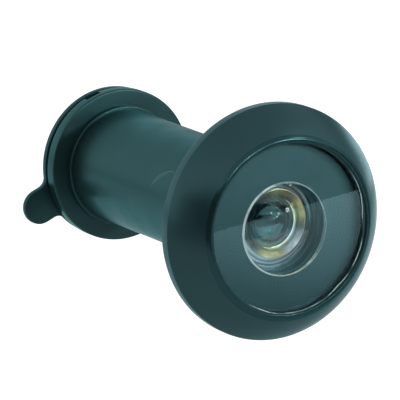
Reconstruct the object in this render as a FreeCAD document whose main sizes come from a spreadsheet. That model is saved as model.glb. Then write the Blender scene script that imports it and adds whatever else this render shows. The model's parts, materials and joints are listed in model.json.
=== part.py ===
"""Door viewer: a wide-angle peephole with a screw-adjusted sleeve and a swinging privacy cover.

The optical axis is the Y axis.  The outdoor head faces -Y, the indoor cover faces +Y, and +Z is up.
The origin is the centre of the head's back face, which bears on the outdoor side of the door.
Every turned piece is drawn from its own outdoor end and set on the axis by its Placement.
"""
import FreeCAD, Part
import math
import os
import Sketcher

# Driving sizes in millimetres, and angles in degrees from +X towards +Z.
SIZES = {
    # head of the outer housing
    "head_r": 14.05,
    "rim_width": 1.42,
    "bevel_height": 4.13,
    "lip_width": 0.42,
    "lip_round": 0.42,
    "lip_inner_round": 0.1,
    "rim_round": 0.22,
    "recess_r": 10.2,
    "glass_recess": 0.45,
    "seal_groove_width": 0.52,
    "shelf_gap": 0.05,
    "cavity_floor": 0.9,
    # threaded stem of the outer housing
    "stem_end_gap": 1.3,
    "stem_chamfer": 0.4,
    "seat_clearance": 0.2,
    "seat_depth": 0.3,
    "relief_depth": 0.5,
    "relief_width": 1.0,
    "stem_wall": 1.15,
    "barrel_seat_depth": 5.4,
    # objective lens, its seal and its ring
    "objective_clearance": 0.08,
    "objective_thickness": 1.6,
    "objective_chamfer": 0.12,
    "bowl_rim_r": 5.6,
    "bowl_bevel_width": 0.25,
    "bowl_bevel": 0.2,
    "bowl_depth": 0.95,
    "seal_thickness": 0.3,
    "ring_width": 0.25,
    "ring_height": 0.22,
    "ring_bevel": 0.12,
    # lens barrel in the stem
    "barrel_wall": 0.65,
    "barrel_stand": 0.8,
    "barrel_flange_length": 1.2,
    "barrel_mouth_land": 0.15,
    "barrel_throat_flare": 0.25,
    "barrel_throat_depth": 0.6,
    "barrel_lip_width": 0.35,
    "barrel_lip_length": 1.3,
    "barrel_shoulder": 0.3,
    "lens_clearance": 0.05,
    # second and third lenses, their spacer and ring
    "dome_clearance": 0.05,
    "dome_height": 1.33,
    "second_edge": 1.2,
    "hollow_rim": 1.15,
    "hollow_depth": 1.2,
    "spacer_length": 2.2,
    "spacer_wall": 0.6,
    "third_thickness": 1.6,
    "third_hollow_rim": 0.85,
    "third_hollow_depth": 0.8,
    "barrel_ring_length": 1.6,
    "barrel_ring_wall": 1.0,
    "spanner_width": 0.8,
    "spanner_depth": 0.6,
    # inner sleeve and its flange
    "end_gap": 0.05,
    "thread_clearance": 0.05,
    "tube_r": 7.0,
    "tube_wall": 0.95,
    "tube_chamfer": 0.25,
    "grip_length": 36.4,
    "collar_width": 0.4,
    "collar_height": 0.8,
    "flange_r": 9.4,
    "flange_thickness": 1.65,
    "flange_bevel": 0.2,
    "eye_pocket_shoulder": 0.5,
    "eye_pocket_depth": 4.0,
    "eye_web": 1.55,
    "eye_seat_width": 1.45,
    "eye_cup_flare": 0.9,
    "coin_slot_width": 2.0,
    "coin_slot_depth": 0.9,
    "coin_slot_angle": 111.0,
    # eye lens and its ring
    "eye_bulge_height": 0.53,
    "eye_edge": 0.8,
    "eye_ring_length": 1.6,
    "eye_ring_wall": 0.9,
    # privacy cover, its rivet and its washer
    "cover_inset": 0.1,
    "cover_thickness": 0.8,
    "cover_gap": 0.6,
    "cover_edge_bevel": 0.12,
    "handle_angle": 205.5,
    "handle_reach": 11.0,
    "handle_half_width": 2.15,
    "handle_root_round": 1.2,
    "pivot_inset": 2.1,
    "rivet_shank_r": 0.85,
    "rivet_hold": 1.2,
    "rivet_head_r": 1.9,
    "rivet_head_height": 0.7,
    "rivet_dome_height": 0.58,
    "pivot_clearance": 0.05,
    "axial_clearance": 0.05,
    "washer_r": 2.1,
    "washer_sheet": 0.2,
}

doc = FreeCAD.newDocument("DoorViewer")
sheet = doc.addObject("Spreadsheet::Sheet", "Sizes")
for row, (alias, number) in enumerate(SIZES.items(), start=1):
    sheet.set(f"A{row}", alias)
    sheet.set(f"B{row}", str(number))
    sheet.setAlias(f"B{row}", alias)
doc.recompute()


class Size:
    """A size that carries its number and the spreadsheet expression that gives it."""

    def __init__(self, value, text):
        self.value = value
        self.text = text

    @staticmethod
    def of(other):
        """Return other as a Size, so that plain numbers mix with named ones."""
        return other if isinstance(other, Size) else Size(float(other), repr(float(other)))

    def _join(self, other, sign, value):
        return Size(value, f"({self.text} {sign} {Size.of(other).text})")

    def __add__(self, other):
        return self._join(other, "+", self.value + Size.of(other).value)

    def __sub__(self, other):
        return self._join(other, "-", self.value - Size.of(other).value)

    def __mul__(self, other):
        return self._join(other, "*", self.value * Size.of(other).value)

    def __neg__(self):
        return Size(-self.value, f"(-1 * {self.text})")


def size(alias):
    """The driving size with this alias."""
    return Size(SIZES[alias], f"Sizes.{alias}")


def polar(radius, angle, function):
    """radius times the cosine or sine of an angle in degrees."""
    turn = getattr(math, function)(math.radians(angle.value))
    return Size(radius.value * turn, f"({radius.text} * {function}({angle.text}))")


ON_AXIS = Size(0.0, "0")
FRONT = Size(0.0, "0")


# Sketches and features shared by the pieces.

def new_body(name):
    """A body whose label names the exported file."""
    body = doc.addObject("PartDesign::Body", name)
    body.Label = name
    return body


def new_sketch(body, name, role, offset=None, turn=None):
    """A sketch on one of the body's origin planes, moved along its normal and turned in its plane."""
    sketch = body.newObject("Sketcher::SketchObject", f"{body.Label}_{name}")
    plane = next(item for item in body.Origin.OriginFeatures if item.Role == role)
    sketch.AttachmentSupport = [(plane, "")]
    sketch.MapMode = "FlatFace"
    about_normal = FreeCAD.Rotation(FreeCAD.Vector(0, 0, 1), 0.001)
    sketch.AttachmentOffset = FreeCAD.Placement(FreeCAD.Vector(0, 0, 0), about_normal)
    if offset is not None:
        sketch.setExpression("AttachmentOffset.Base.z", offset.text)
    sketch.setExpression("AttachmentOffset.Rotation.Angle", turn.text if turn else "0")
    return sketch


def dimension(sketch, kind, geometry, point, length):
    """Hold one coordinate of a point to a size, or to a sketch axis where it is zero."""
    if length in (ON_AXIS, FRONT):
        axis = -2 if kind == "DistanceX" else -1
        sketch.addConstraint(Sketcher.Constraint("PointOnObject", geometry, point, axis))
        return
    index = sketch.addConstraint(Sketcher.Constraint(kind, -1, 1, geometry, point, length.value))
    sketch.setExpression(f"Constraints[{index}]", length.text)


def draw_profile(sketch, corners, domes=()):
    """Draw a closed outline through (radius, station) corners.

    domes lists the corners that start a spherical surface, whose centre lies on the axis.
    """
    points = [FreeCAD.Vector(radius.value, station.value, 0) for radius, station in corners]
    for index, start in enumerate(points):
        end = points[(index + 1) % len(points)]
        if index in domes:
            sketch.addGeometry(sphere_arc(start, end))
        else:
            sketch.addGeometry(Part.LineSegment(start, end))
    reversed_arcs = {index for index in domes if not starts_at(sketch.Geometry[index], points[index])}
    for index, (radius, station) in enumerate(corners):
        following = (index + 1) % len(corners)
        last = 1 if index in reversed_arcs else 2
        first = 2 if following in reversed_arcs else 1
        sketch.addConstraint(Sketcher.Constraint("Coincident", index, last, following, first))
        own = 2 if index in reversed_arcs else 1
        dimension(sketch, "DistanceX", index, own, radius)
        dimension(sketch, "DistanceY", index, own, station)
        if index in domes:
            sketch.addConstraint(Sketcher.Constraint("PointOnObject", index, 3, -2))


def sphere_arc(start, end):
    """Arc between two points whose centre lies on the axis."""
    rise = end.y - start.y
    place = (end.x ** 2 - start.x ** 2 + end.y ** 2 - start.y ** 2) / (2 * rise)
    centre = FreeCAD.Vector(0, place, 0)
    circle = Part.Circle(centre, FreeCAD.Vector(0, 0, 1), centre.distanceToPoint(start))
    low, high = sorted(math.atan2(point.y - place, point.x) for point in (start, end))
    return Part.ArcOfCircle(circle, low, high)


def starts_at(arc, point):
    """Whether an arc begins at this point."""
    return arc.StartPoint.distanceToPoint(point) < 1e-6


def turned(name, corners, domes=(), station=None):
    """A piece turned about the Y axis, whose drawn front is set at this station on the axis."""
    body = new_body(name)
    sketch = new_sketch(body, "profile", "XY_Plane")
    draw_profile(sketch, corners, domes)
    revolution = body.newObject("PartDesign::Revolution", f"{name}_turned")
    revolution.Profile = sketch
    revolution.ReferenceAxis = (sketch, ["V_Axis"])
    revolution.Angle = 360
    if station is not None:
        body.setExpression("Placement.Base.y", station.text)
    doc.recompute()
    return body


def circular_edges(body, circles):
    """Names of the circular edges at these (radius, station) places."""
    names = []
    for number, edge in enumerate(body.Tip.Shape.Edges, start=1):
        curve = edge.Curve
        if not isinstance(curve, Part.Circle):
            continue
        for circle_r, station in circles:
            if abs(curve.Radius - circle_r.value) < 1e-4 and abs(curve.Center.y - station.value) < 1e-4:
                names.append(f"Edge{number}")
    return names


def round_circles(body, name, radius, circles):
    """Round the circular edges at these (radius, station) places."""
    break_edges(body, "Fillet", name, radius, circular_edges(body, circles))


def bevel_circles(body, name, width, circles):
    """Chamfer the circular edges at these (radius, station) places."""
    break_edges(body, "Chamfer", name, width, circular_edges(body, circles))


def break_edges(body, kind, name, length, places):
    """Add a Fillet or a Chamfer of this length at the named edges or faces of the body."""
    base = body.Tip
    feature = body.newObject(f"PartDesign::{kind}", f"{body.Label}_{name}")
    feature.Base = (base, places)
    feature.setExpression("Radius" if kind == "Fillet" else "Size", length.text)
    doc.recompute()


def cut_slot(body, name, width, reach, depth, station, turn=None, outdoor=False):
    """Mill a slot through the axis and out to the reach, down from the face at this station."""
    before = body.Shape.Volume
    sketch = new_sketch(body, name, "XZ_Plane", -station, turn)
    half = width * 0.5
    spots = [(-reach, -half), (reach, -half), (reach, half), (-reach, half)]
    points = [FreeCAD.Vector(x.value, y.value, 0) for x, y in spots]
    for index, start in enumerate(points):
        sketch.addGeometry(Part.LineSegment(start, points[(index + 1) % 4]))
    for index in range(4):
        sketch.addConstraint(Sketcher.Constraint("Coincident", index, 2, (index + 1) % 4, 1))
    for index, (x, y) in enumerate(spots):
        dimension(sketch, "DistanceX", index, 1, x)
        dimension(sketch, "DistanceY", index, 1, y)
    pocket = body.newObject("PartDesign::Pocket", f"{body.Label}_{name}_cut")
    pocket.Profile = sketch
    pocket.Reversed = not outdoor
    pocket.setExpression("Length", depth.text)
    doc.recompute()
    check_cut(body, before)
    return pocket


def cut_hole(body, name, hole_r, distance, depth, station, turn, reverse):
    """Drill a round hole at a distance from the axis, from the XZ plane at this station."""
    before = body.Shape.Volume
    sketch = new_sketch(body, name, "XZ_Plane", -station, turn)
    centre = FreeCAD.Vector(distance.value, 0, 0)
    sketch.addGeometry(Part.Circle(centre, FreeCAD.Vector(0, 0, 1), hole_r.value))
    dimension(sketch, "DistanceX", 0, 3, distance)
    sketch.addConstraint(Sketcher.Constraint("PointOnObject", 0, 3, -1))
    index = sketch.addConstraint(Sketcher.Constraint("Radius", 0, hole_r.value))
    sketch.setExpression(f"Constraints[{index}]", hole_r.text)
    pocket = body.newObject("PartDesign::Pocket", f"{body.Label}_{name}_cut")
    pocket.Profile = sketch
    pocket.Reversed = reverse
    pocket.setExpression("Length", depth.text)
    doc.recompute()
    check_cut(body, before)
    return pocket


def ring_corners(outer_r, wall, length):
    """Square section of a plain ring."""
    return [
        (outer_r - wall, FRONT),
        (outer_r, FRONT),
        (outer_r, length),
        (outer_r - wall, length),
    ]


def check_cut(body, before):
    """Stop if the last cut took nothing away."""
    if body.Shape.Volume > before - 0.01:
        raise RuntimeError(f"{body.Tip.Name} cut nothing")


# Radii that follow from the sizes, from the rim of the window inwards and from the tube inwards.
lip_r = size("recess_r") + size("lip_width")
shelf_r = size("recess_r") - size("seal_groove_width")
objective_r = size("recess_r") - size("objective_clearance")
bowl_r = size("bowl_rim_r") - size("bowl_bevel_width")
sleeve_bore_r = size("tube_r") - size("tube_wall")
stem_r = sleeve_bore_r - size("thread_clearance")
stem_bore_r = stem_r - size("stem_wall")
barrel_r = stem_bore_r - size("barrel_shoulder")
barrel_bore_r = barrel_r - size("barrel_wall")
barrel_lip_r = barrel_bore_r - size("barrel_lip_width")
lens_r = barrel_bore_r - size("lens_clearance")
dome_r = barrel_lip_r - size("dome_clearance")
eye_pocket_r = sleeve_bore_r - size("eye_pocket_shoulder")
eye_hole_r = eye_pocket_r - size("eye_seat_width")
cover_r = size("flange_r") - size("cover_inset")
pivot_distance = cover_r - size("pivot_inset")

# Stations along the axis.
lip_front = -(size("rim_width") + size("bevel_height"))
glass_front = lip_front + size("glass_recess")
glass_back = glass_front + size("objective_thickness")
shelf_front = glass_back + size("shelf_gap")
seal_back = glass_back + size("seal_thickness")
barrel_front = -(size("cavity_floor") + size("barrel_stand"))
second_seat = barrel_front + size("barrel_lip_length")
second_back = second_seat + size("second_edge")
spacer_back = second_back + size("spacer_length")
third_back = spacer_back + size("third_thickness")
sleeve_front = size("end_gap") - size("seat_depth")
door_face = size("grip_length")
flange_back = door_face + size("flange_thickness")
eye_seat = flange_back - size("eye_web")
pocket_front = eye_seat - size("eye_pocket_depth")
eye_back = eye_seat - size("axial_clearance")
eye_front = eye_back - size("eye_edge")
cover_front = flange_back + size("cover_gap")
cover_back = cover_front + size("cover_thickness")


def outer_housing():
    """Head with its domed bevel, window recess and sleeve seat, and the hollow threaded stem."""
    def drawn(station):
        return station - lip_front

    back_face = drawn(FRONT)
    stem_end = drawn(pocket_front - size("stem_end_gap"))
    relief_end = back_face + size("relief_width")
    rim_front = size("bevel_height")
    seat_r = size("tube_r") + size("seat_clearance")
    relief_r = stem_r - size("relief_depth")
    corners = [
        (size("recess_r"), FRONT),
        (lip_r, FRONT),
        (size("head_r"), rim_front),
        (size("head_r"), back_face),
        (seat_r, back_face),
        (seat_r, back_face - size("seat_depth")),
        (relief_r, back_face - size("seat_depth")),
        (relief_r, relief_end),
        (stem_r, relief_end + size("relief_depth")),
        (stem_r, stem_end - size("stem_chamfer")),
        (stem_r - size("stem_chamfer"), stem_end),
        (stem_bore_r, stem_end),
        (stem_bore_r, drawn(size("barrel_seat_depth"))),
        (barrel_r, drawn(size("barrel_seat_depth"))),
        (barrel_r, back_face - size("cavity_floor")),
        (size("bowl_rim_r"), back_face - size("cavity_floor")),
        (size("bowl_rim_r"), drawn(shelf_front)),
        (shelf_r, drawn(shelf_front)),
        (shelf_r, drawn(seal_back)),
        (size("recess_r"), drawn(seal_back)),
    ]
    body = turned("outer_housing", corners, domes=[1], station=lip_front)
    rim_edges = [(size("head_r"), rim_front), (size("head_r"), back_face)]
    round_circles(body, "lip", size("lip_round"), [(lip_r, FRONT)])
    round_circles(body, "lip_inner", size("lip_inner_round"), [(size("recess_r"), FRONT)])
    round_circles(body, "rim", size("rim_round"), rim_edges)
    return body


def objective_seal():
    """Thin black ring round the shelf, under the edge of the objective lens."""
    inner = shelf_r + size("shelf_gap")
    corners = ring_corners(objective_r, objective_r - inner, size("seal_thickness"))
    return turned("objective_seal", corners, station=glass_back)


def objective_lens():
    """Flat outdoor glass with a shallow bowl ground into its back and a bevel round the bowl's rim."""
    back = size("objective_thickness")
    chamfer = size("objective_chamfer")
    bowl_edge = back - size("bowl_bevel")
    corners = [
        (ON_AXIS, FRONT),
        (objective_r - chamfer, FRONT),
        (objective_r, chamfer),
        (objective_r, back),
        (size("bowl_rim_r"), back),
        (bowl_r, bowl_edge),
        (ON_AXIS, bowl_edge - size("bowl_depth")),
    ]
    return turned("objective_lens", corners, domes=[5], station=glass_front)


def objective_ring():
    """Thin bevelled ring pressed into the recess in front of the glass."""
    height = size("ring_height")
    corners = [
        (size("recess_r") - size("ring_bevel"), FRONT),
        (size("recess_r"), FRONT),
        (size("recess_r"), height),
        (size("recess_r") - size("ring_width"), height),
        (size("recess_r") - size("ring_width"), size("ring_bevel")),
    ]
    return turned("objective_ring", corners, station=glass_front - height)


def lens_barrel():
    """Brass tube in the stem's bore that holds the second and third lenses behind its mouth."""
    step = size("barrel_seat_depth") - barrel_front
    end = step + size("barrel_flange_length")
    lip = size("barrel_lip_length")
    corners = [
        (barrel_r - size("barrel_mouth_land"), FRONT),
        (barrel_r, FRONT),
        (barrel_r, step),
        (stem_bore_r, step),
        (stem_bore_r, end),
        (barrel_bore_r, end),
        (barrel_bore_r, lip),
        (barrel_lip_r, lip),
        (barrel_lip_r + size("barrel_throat_flare"), size("barrel_throat_depth")),
    ]
    return turned("lens_barrel", corners, station=barrel_front)


def second_lens():
    """Small domed lens whose back is hollowed out."""
    dome = size("dome_height")
    back = dome + size("second_edge")
    hollow_r = lens_r - size("hollow_rim")
    corners = [
        (ON_AXIS, FRONT),
        (dome_r, dome),
        (lens_r, dome),
        (lens_r, back),
        (hollow_r, back),
        (ON_AXIS, back - size("hollow_depth")),
    ]
    return turned("second_lens", corners, domes=[0, 4], station=second_seat - dome)


def lens_spacer():
    """Plain ring between the second and the third lens."""
    corners = ring_corners(lens_r, size("spacer_wall"), size("spacer_length"))
    return turned("lens_spacer", corners, station=second_back)


def third_lens():
    """Flat lens with a hollow back, behind the spacer."""
    back = size("third_thickness")
    hollow_r = lens_r - size("third_hollow_rim")
    corners = [
        (ON_AXIS, FRONT),
        (lens_r, FRONT),
        (lens_r, back),
        (hollow_r, back),
        (ON_AXIS, back - size("third_hollow_depth")),
    ]
    return turned("third_lens", corners, domes=[3], station=spacer_back)


def barrel_ring():
    """Screwed ring with two spanner slots that closes the lens stack."""
    length = size("barrel_ring_length")
    corners = ring_corners(barrel_bore_r, size("barrel_ring_wall"), length)
    body = turned("barrel_ring", corners, station=third_back)
    reach = barrel_bore_r + size("spanner_width")
    cut_slot(body, "spanner", size("spanner_width"), reach, size("spanner_depth"), length)
    return body


def inner_sleeve():
    """Screwed tube that clamps the door, with its slotted flange, eye pocket and eye cup."""
    def drawn(station):
        return station - sleeve_front

    collar_r = size("tube_r") + size("collar_width")
    corners = [
        (sleeve_bore_r, FRONT),
        (size("tube_r") - size("tube_chamfer"), FRONT),
        (size("tube_r"), size("tube_chamfer")),
        (size("tube_r"), drawn(door_face) - size("collar_height")),
        (collar_r, drawn(door_face) - size("collar_height")),
        (collar_r, drawn(door_face)),
        (size("flange_r"), drawn(door_face)),
        (size("flange_r"), drawn(flange_back)),
        (eye_hole_r + size("eye_cup_flare"), drawn(flange_back)),
        (eye_hole_r, drawn(eye_seat)),
        (eye_pocket_r, drawn(eye_seat)),
        (eye_pocket_r, drawn(pocket_front)),
        (sleeve_bore_r, drawn(pocket_front)),
    ]
    body = turned("inner_sleeve", corners, station=sleeve_front)
    flange_edges = [(size("flange_r"), drawn(door_face)), (size("flange_r"), drawn(flange_back))]
    bevel_circles(body, "flange", size("flange_bevel"), flange_edges)
    cut_slot(body, "coin", size("coin_slot_width"), size("flange_r") + size("coin_slot_width"),
             size("coin_slot_depth"), drawn(flange_back), size("coin_slot_angle"))
    cut_hole(body, "rivet", size("rivet_shank_r"), pivot_distance, size("rivet_hold"),
             drawn(flange_back), size("handle_angle") + 180, True)
    return body


def eye_lens():
    """Double-convex lens that the eye looks through."""
    rim_r = eye_pocket_r - size("lens_clearance")
    bulge = size("eye_bulge_height")
    corners = [
        (ON_AXIS, FRONT),
        (eye_hole_r, bulge),
        (rim_r, bulge),
        (rim_r, bulge + size("eye_edge")),
        (eye_hole_r, bulge + size("eye_edge")),
        (ON_AXIS, bulge * 2 + size("eye_edge")),
    ]
    return turned("eye_lens", corners, domes=[0, 4], station=eye_front - bulge)


def eye_ring():
    """Screwed ring with two spanner slots that holds the eye lens in the sleeve."""
    length = size("eye_ring_length")
    corners = ring_corners(eye_pocket_r, size("eye_ring_wall"), length)
    body = turned("eye_ring", corners, station=eye_front - size("axial_clearance") - length)
    reach = eye_pocket_r + size("spanner_width")
    cut_slot(body, "spanner", size("spanner_width"), reach, size("spanner_depth"), FRONT, outdoor=True)
    return body


def privacy_cover():
    """Sheet disc with a rounded finger tab, which swings on the rivet."""
    body = new_body("privacy_cover")
    sketch = new_sketch(body, "outline", "XZ_Plane")
    normal = FreeCAD.Vector(0, 0, 1)
    disc_r = cover_r.value
    half = SIZES["handle_half_width"]
    reach = SIZES["handle_reach"]
    meet = math.asin(half / disc_r)
    disc = Part.ArcOfCircle(Part.Circle(FreeCAD.Vector(0, 0, 0), normal, disc_r), meet, 2 * math.pi - meet)
    lobe = Part.ArcOfCircle(Part.Circle(FreeCAD.Vector(reach, 0, 0), normal, half), -math.pi / 2, math.pi / 2)
    upper = Part.LineSegment(disc.StartPoint, FreeCAD.Vector(reach, half, 0))
    lower = Part.LineSegment(FreeCAD.Vector(reach, -half, 0), disc.EndPoint)
    sketch.addGeometry([disc, upper, lobe, lower], False)
    sketch.addConstraint([
        Sketcher.Constraint("Coincident", 0, 3, -1, 1),
        Sketcher.Constraint("Coincident", 0, 1, 1, 1),
        Sketcher.Constraint("Tangent", 1, 2, 2, 2),
        Sketcher.Constraint("Tangent", 2, 1, 3, 1),
        Sketcher.Constraint("Coincident", 3, 2, 0, 2),
        Sketcher.Constraint("Horizontal", 1),
        Sketcher.Constraint("Horizontal", 3),
        Sketcher.Constraint("PointOnObject", 2, 3, -1),
    ])
    dimension(sketch, "DistanceX", 2, 3, size("handle_reach"))
    for geometry, radius in ((0, cover_r), (2, size("handle_half_width"))):
        index = sketch.addConstraint(Sketcher.Constraint("Radius", geometry, radius.value))
        sketch.setExpression(f"Constraints[{index}]", radius.text)
    pad = body.newObject("PartDesign::Pad", "privacy_cover_sheet")
    pad.Profile = sketch
    pad.Reversed = True
    pad.setExpression("Length", size("cover_thickness").text)
    doc.recompute()
    fill_handle_roots(body)
    bevel_cover_edges(body)
    cut_hole(body, "pivot", size("rivet_shank_r") + size("pivot_clearance"), -pivot_distance,
             size("cover_thickness"), size("cover_thickness"), None, True)
    body.Placement = FreeCAD.Placement(FreeCAD.Vector(0, 0, 0), FreeCAD.Rotation(FreeCAD.Vector(0, -1, 0), 1))
    body.setExpression("Placement.Base.y", cover_front.text)
    body.setExpression("Placement.Rotation.Angle", size("handle_angle").text)
    doc.recompute()
    return body


def fill_handle_roots(body):
    """Fill the two corners where the tab leaves the disc."""
    half = SIZES["handle_half_width"]
    root_x = math.sqrt(cover_r.value ** 2 - half ** 2)
    names = []
    for number, edge in enumerate(body.Tip.Shape.Edges, start=1):
        middle = edge.CenterOfMass
        straight = isinstance(edge.Curve, Part.Line) and abs(middle.y - edge.Vertexes[0].Y) > 1e-4
        if straight and abs(middle.x - root_x) < 1e-3 and abs(abs(middle.z) - half) < 1e-3:
            names.append(f"Edge{number}")
    break_edges(body, "Fillet", "roots", size("handle_root_round"), names)


def bevel_cover_edges(body):
    """Break the sharp edges all round both faces of the cover."""
    names = []
    for number, face in enumerate(body.Tip.Shape.Faces, start=1):
        if isinstance(face.Surface, Part.Plane) and abs(face.normalAt(0, 0).y) > 0.99:
            names.append(f"Face{number}")
    break_edges(body, "Chamfer", "edges", size("cover_edge_bevel"), names)


def set_at_pivot(body, station):
    """Move a piece turned about its own axis to the cover's pivot."""
    towards = size("handle_angle") + 180
    body.setExpression("Placement.Base.x", polar(pivot_distance, towards, "cos").text)
    body.setExpression("Placement.Base.y", station.text)
    body.setExpression("Placement.Base.z", polar(pivot_distance, towards, "sin").text)
    doc.recompute()


def cover_rivet():
    """Domed rivet pressed into the flange, on which the cover turns."""
    head_front = size("rivet_hold") + size("cover_gap") + size("cover_thickness") + size("axial_clearance")
    edge = head_front + size("rivet_head_height") - size("rivet_dome_height")
    corners = [
        (ON_AXIS, FRONT),
        (size("rivet_shank_r"), FRONT),
        (size("rivet_shank_r"), head_front),
        (size("rivet_head_r"), head_front),
        (size("rivet_head_r"), edge),
        (ON_AXIS, head_front + size("rivet_head_height")),
    ]
    body = turned("cover_rivet", corners, domes=[4])
    set_at_pivot(body, flange_back - size("rivet_hold"))
    return body


def cover_washer():
    """Dished spring washer between the flange and the cover, which keeps the cover where it is put."""
    hole_r = size("rivet_shank_r") + size("pivot_clearance")
    height = size("cover_gap") - size("axial_clearance")
    corners = [
        (hole_r, height - size("washer_sheet")),
        (size("washer_r"), FRONT),
        (size("washer_r"), size("washer_sheet")),
        (hole_r, height),
    ]
    body = turned("cover_washer", corners)
    set_at_pivot(body, flange_back)
    return body


def check_document():
    """Stop if any object failed to build."""
    for item in doc.Objects:
        if "Invalid" in item.State or "Error" in item.State:
            raise RuntimeError(f"{item.Name} failed: {item.State}")


def export(body):
    """Check one finished body and write it as a STEP file."""
    shape = body.Shape
    if shape.isNull() or not shape.isValid() or len(shape.Solids) != 1:
        raise RuntimeError(f"{body.Label} isn't one valid solid")
    shape.exportStep(f"parts/{body.Label}.step")
    box = shape.BoundBox
    print(f"{body.Label:16s} {shape.Volume:9.2f} mm3  x {box.XMin:7.2f} {box.XMax:7.2f}"
          f"  y {box.YMin:7.2f} {box.YMax:7.2f}  z {box.ZMin:7.2f} {box.ZMax:7.2f}")


PIECES = [
    outer_housing,
    objective_seal,
    objective_lens,
    objective_ring,
    lens_barrel,
    second_lens,
    lens_spacer,
    third_lens,
    barrel_ring,
    inner_sleeve,
    eye_lens,
    eye_ring,
    privacy_cover,
    cover_washer,
    cover_rivet,
]

os.makedirs("parts", exist_ok=True)
finished = [make() for make in PIECES]
doc.recompute()
check_document()
for piece in finished:
    export(piece)
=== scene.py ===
"""Door viewer: detailed meshes, finishes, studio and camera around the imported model."""
import json
import logging
import math
from collections.abc import Callable, Iterable
from dataclasses import dataclass, field
from enum import Enum

import bmesh
import bpy
from mathutils import Matrix, Vector


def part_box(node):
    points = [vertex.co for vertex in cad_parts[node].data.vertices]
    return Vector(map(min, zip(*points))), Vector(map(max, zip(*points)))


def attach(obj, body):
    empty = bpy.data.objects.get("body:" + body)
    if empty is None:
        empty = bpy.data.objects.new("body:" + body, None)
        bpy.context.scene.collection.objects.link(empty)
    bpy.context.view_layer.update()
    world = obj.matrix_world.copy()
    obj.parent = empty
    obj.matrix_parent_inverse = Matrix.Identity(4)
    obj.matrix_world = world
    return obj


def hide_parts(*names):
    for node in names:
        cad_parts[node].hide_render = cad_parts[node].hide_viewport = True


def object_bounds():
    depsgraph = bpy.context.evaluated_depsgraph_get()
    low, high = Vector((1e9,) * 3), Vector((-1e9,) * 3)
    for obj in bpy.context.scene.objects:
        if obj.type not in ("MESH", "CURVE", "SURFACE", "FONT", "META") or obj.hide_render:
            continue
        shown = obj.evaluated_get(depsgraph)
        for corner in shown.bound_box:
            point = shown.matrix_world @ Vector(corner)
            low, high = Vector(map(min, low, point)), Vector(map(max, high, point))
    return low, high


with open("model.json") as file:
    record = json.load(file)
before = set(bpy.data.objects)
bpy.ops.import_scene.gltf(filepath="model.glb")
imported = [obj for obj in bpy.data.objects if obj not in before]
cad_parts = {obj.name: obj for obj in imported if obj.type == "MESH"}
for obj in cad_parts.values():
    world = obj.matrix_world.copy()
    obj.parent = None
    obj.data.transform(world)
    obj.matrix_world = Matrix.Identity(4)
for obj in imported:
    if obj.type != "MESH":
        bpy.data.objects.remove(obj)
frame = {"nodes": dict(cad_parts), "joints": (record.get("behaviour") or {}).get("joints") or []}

CAD_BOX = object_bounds()
MM = 0.001
# Allowances in millimetres, for telling by its middle which surface a face belongs to.
TOUCH = 0.01
SLACK = 0.05
# Radii below this, in millimetres, lie on the axis.
ON_AXIS = 1e-6
# How far a cutter reaches beyond the piece, in millimetres.
OVERCUT = 1.0
LOG = logging.getLogger("door_viewer")

Colour = tuple[float, float, float]
Place = tuple[float, float, float]
Corner = tuple[float, float]
RoundedCorner = tuple[float, float, float]
Span = tuple[float, float]
Socket = bpy.types.NodeSocket


class Segments(Enum):
    """How finely round shapes are divided."""

    TURN = 144
    SMALL_TURN = 96
    CORNER = 6
    SPHERE = 18
    THREAD = 8


class Body(Enum):
    """The moving bodies that pieces ride on."""

    HOUSING = "housing"
    EYE_LENS = "eye_lens_slide"
    SLEEVE = "sleeve"
    COVER = "cover"


class Slot(Enum):
    """The material slots of the record."""

    BLACK_PAINT = "black_paint"
    COVER_PAINT = "cover_paint"
    BRASS = "brass"
    GLASS = "glass"
    BLACK_RING = "black_ring"
    BLACK_SEAL = "black_seal"


# ---------------------------------------------------------------- materials


@dataclass(frozen=True)
class Pattern:
    """A noise pattern: scale per metre, detail, the band of it that counts, and the scale of each axis."""

    scale: float
    detail: float
    low: float = 0.3
    high: float = 0.7
    stretch: Place = (1.0, 1.0, 1.0)


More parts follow.
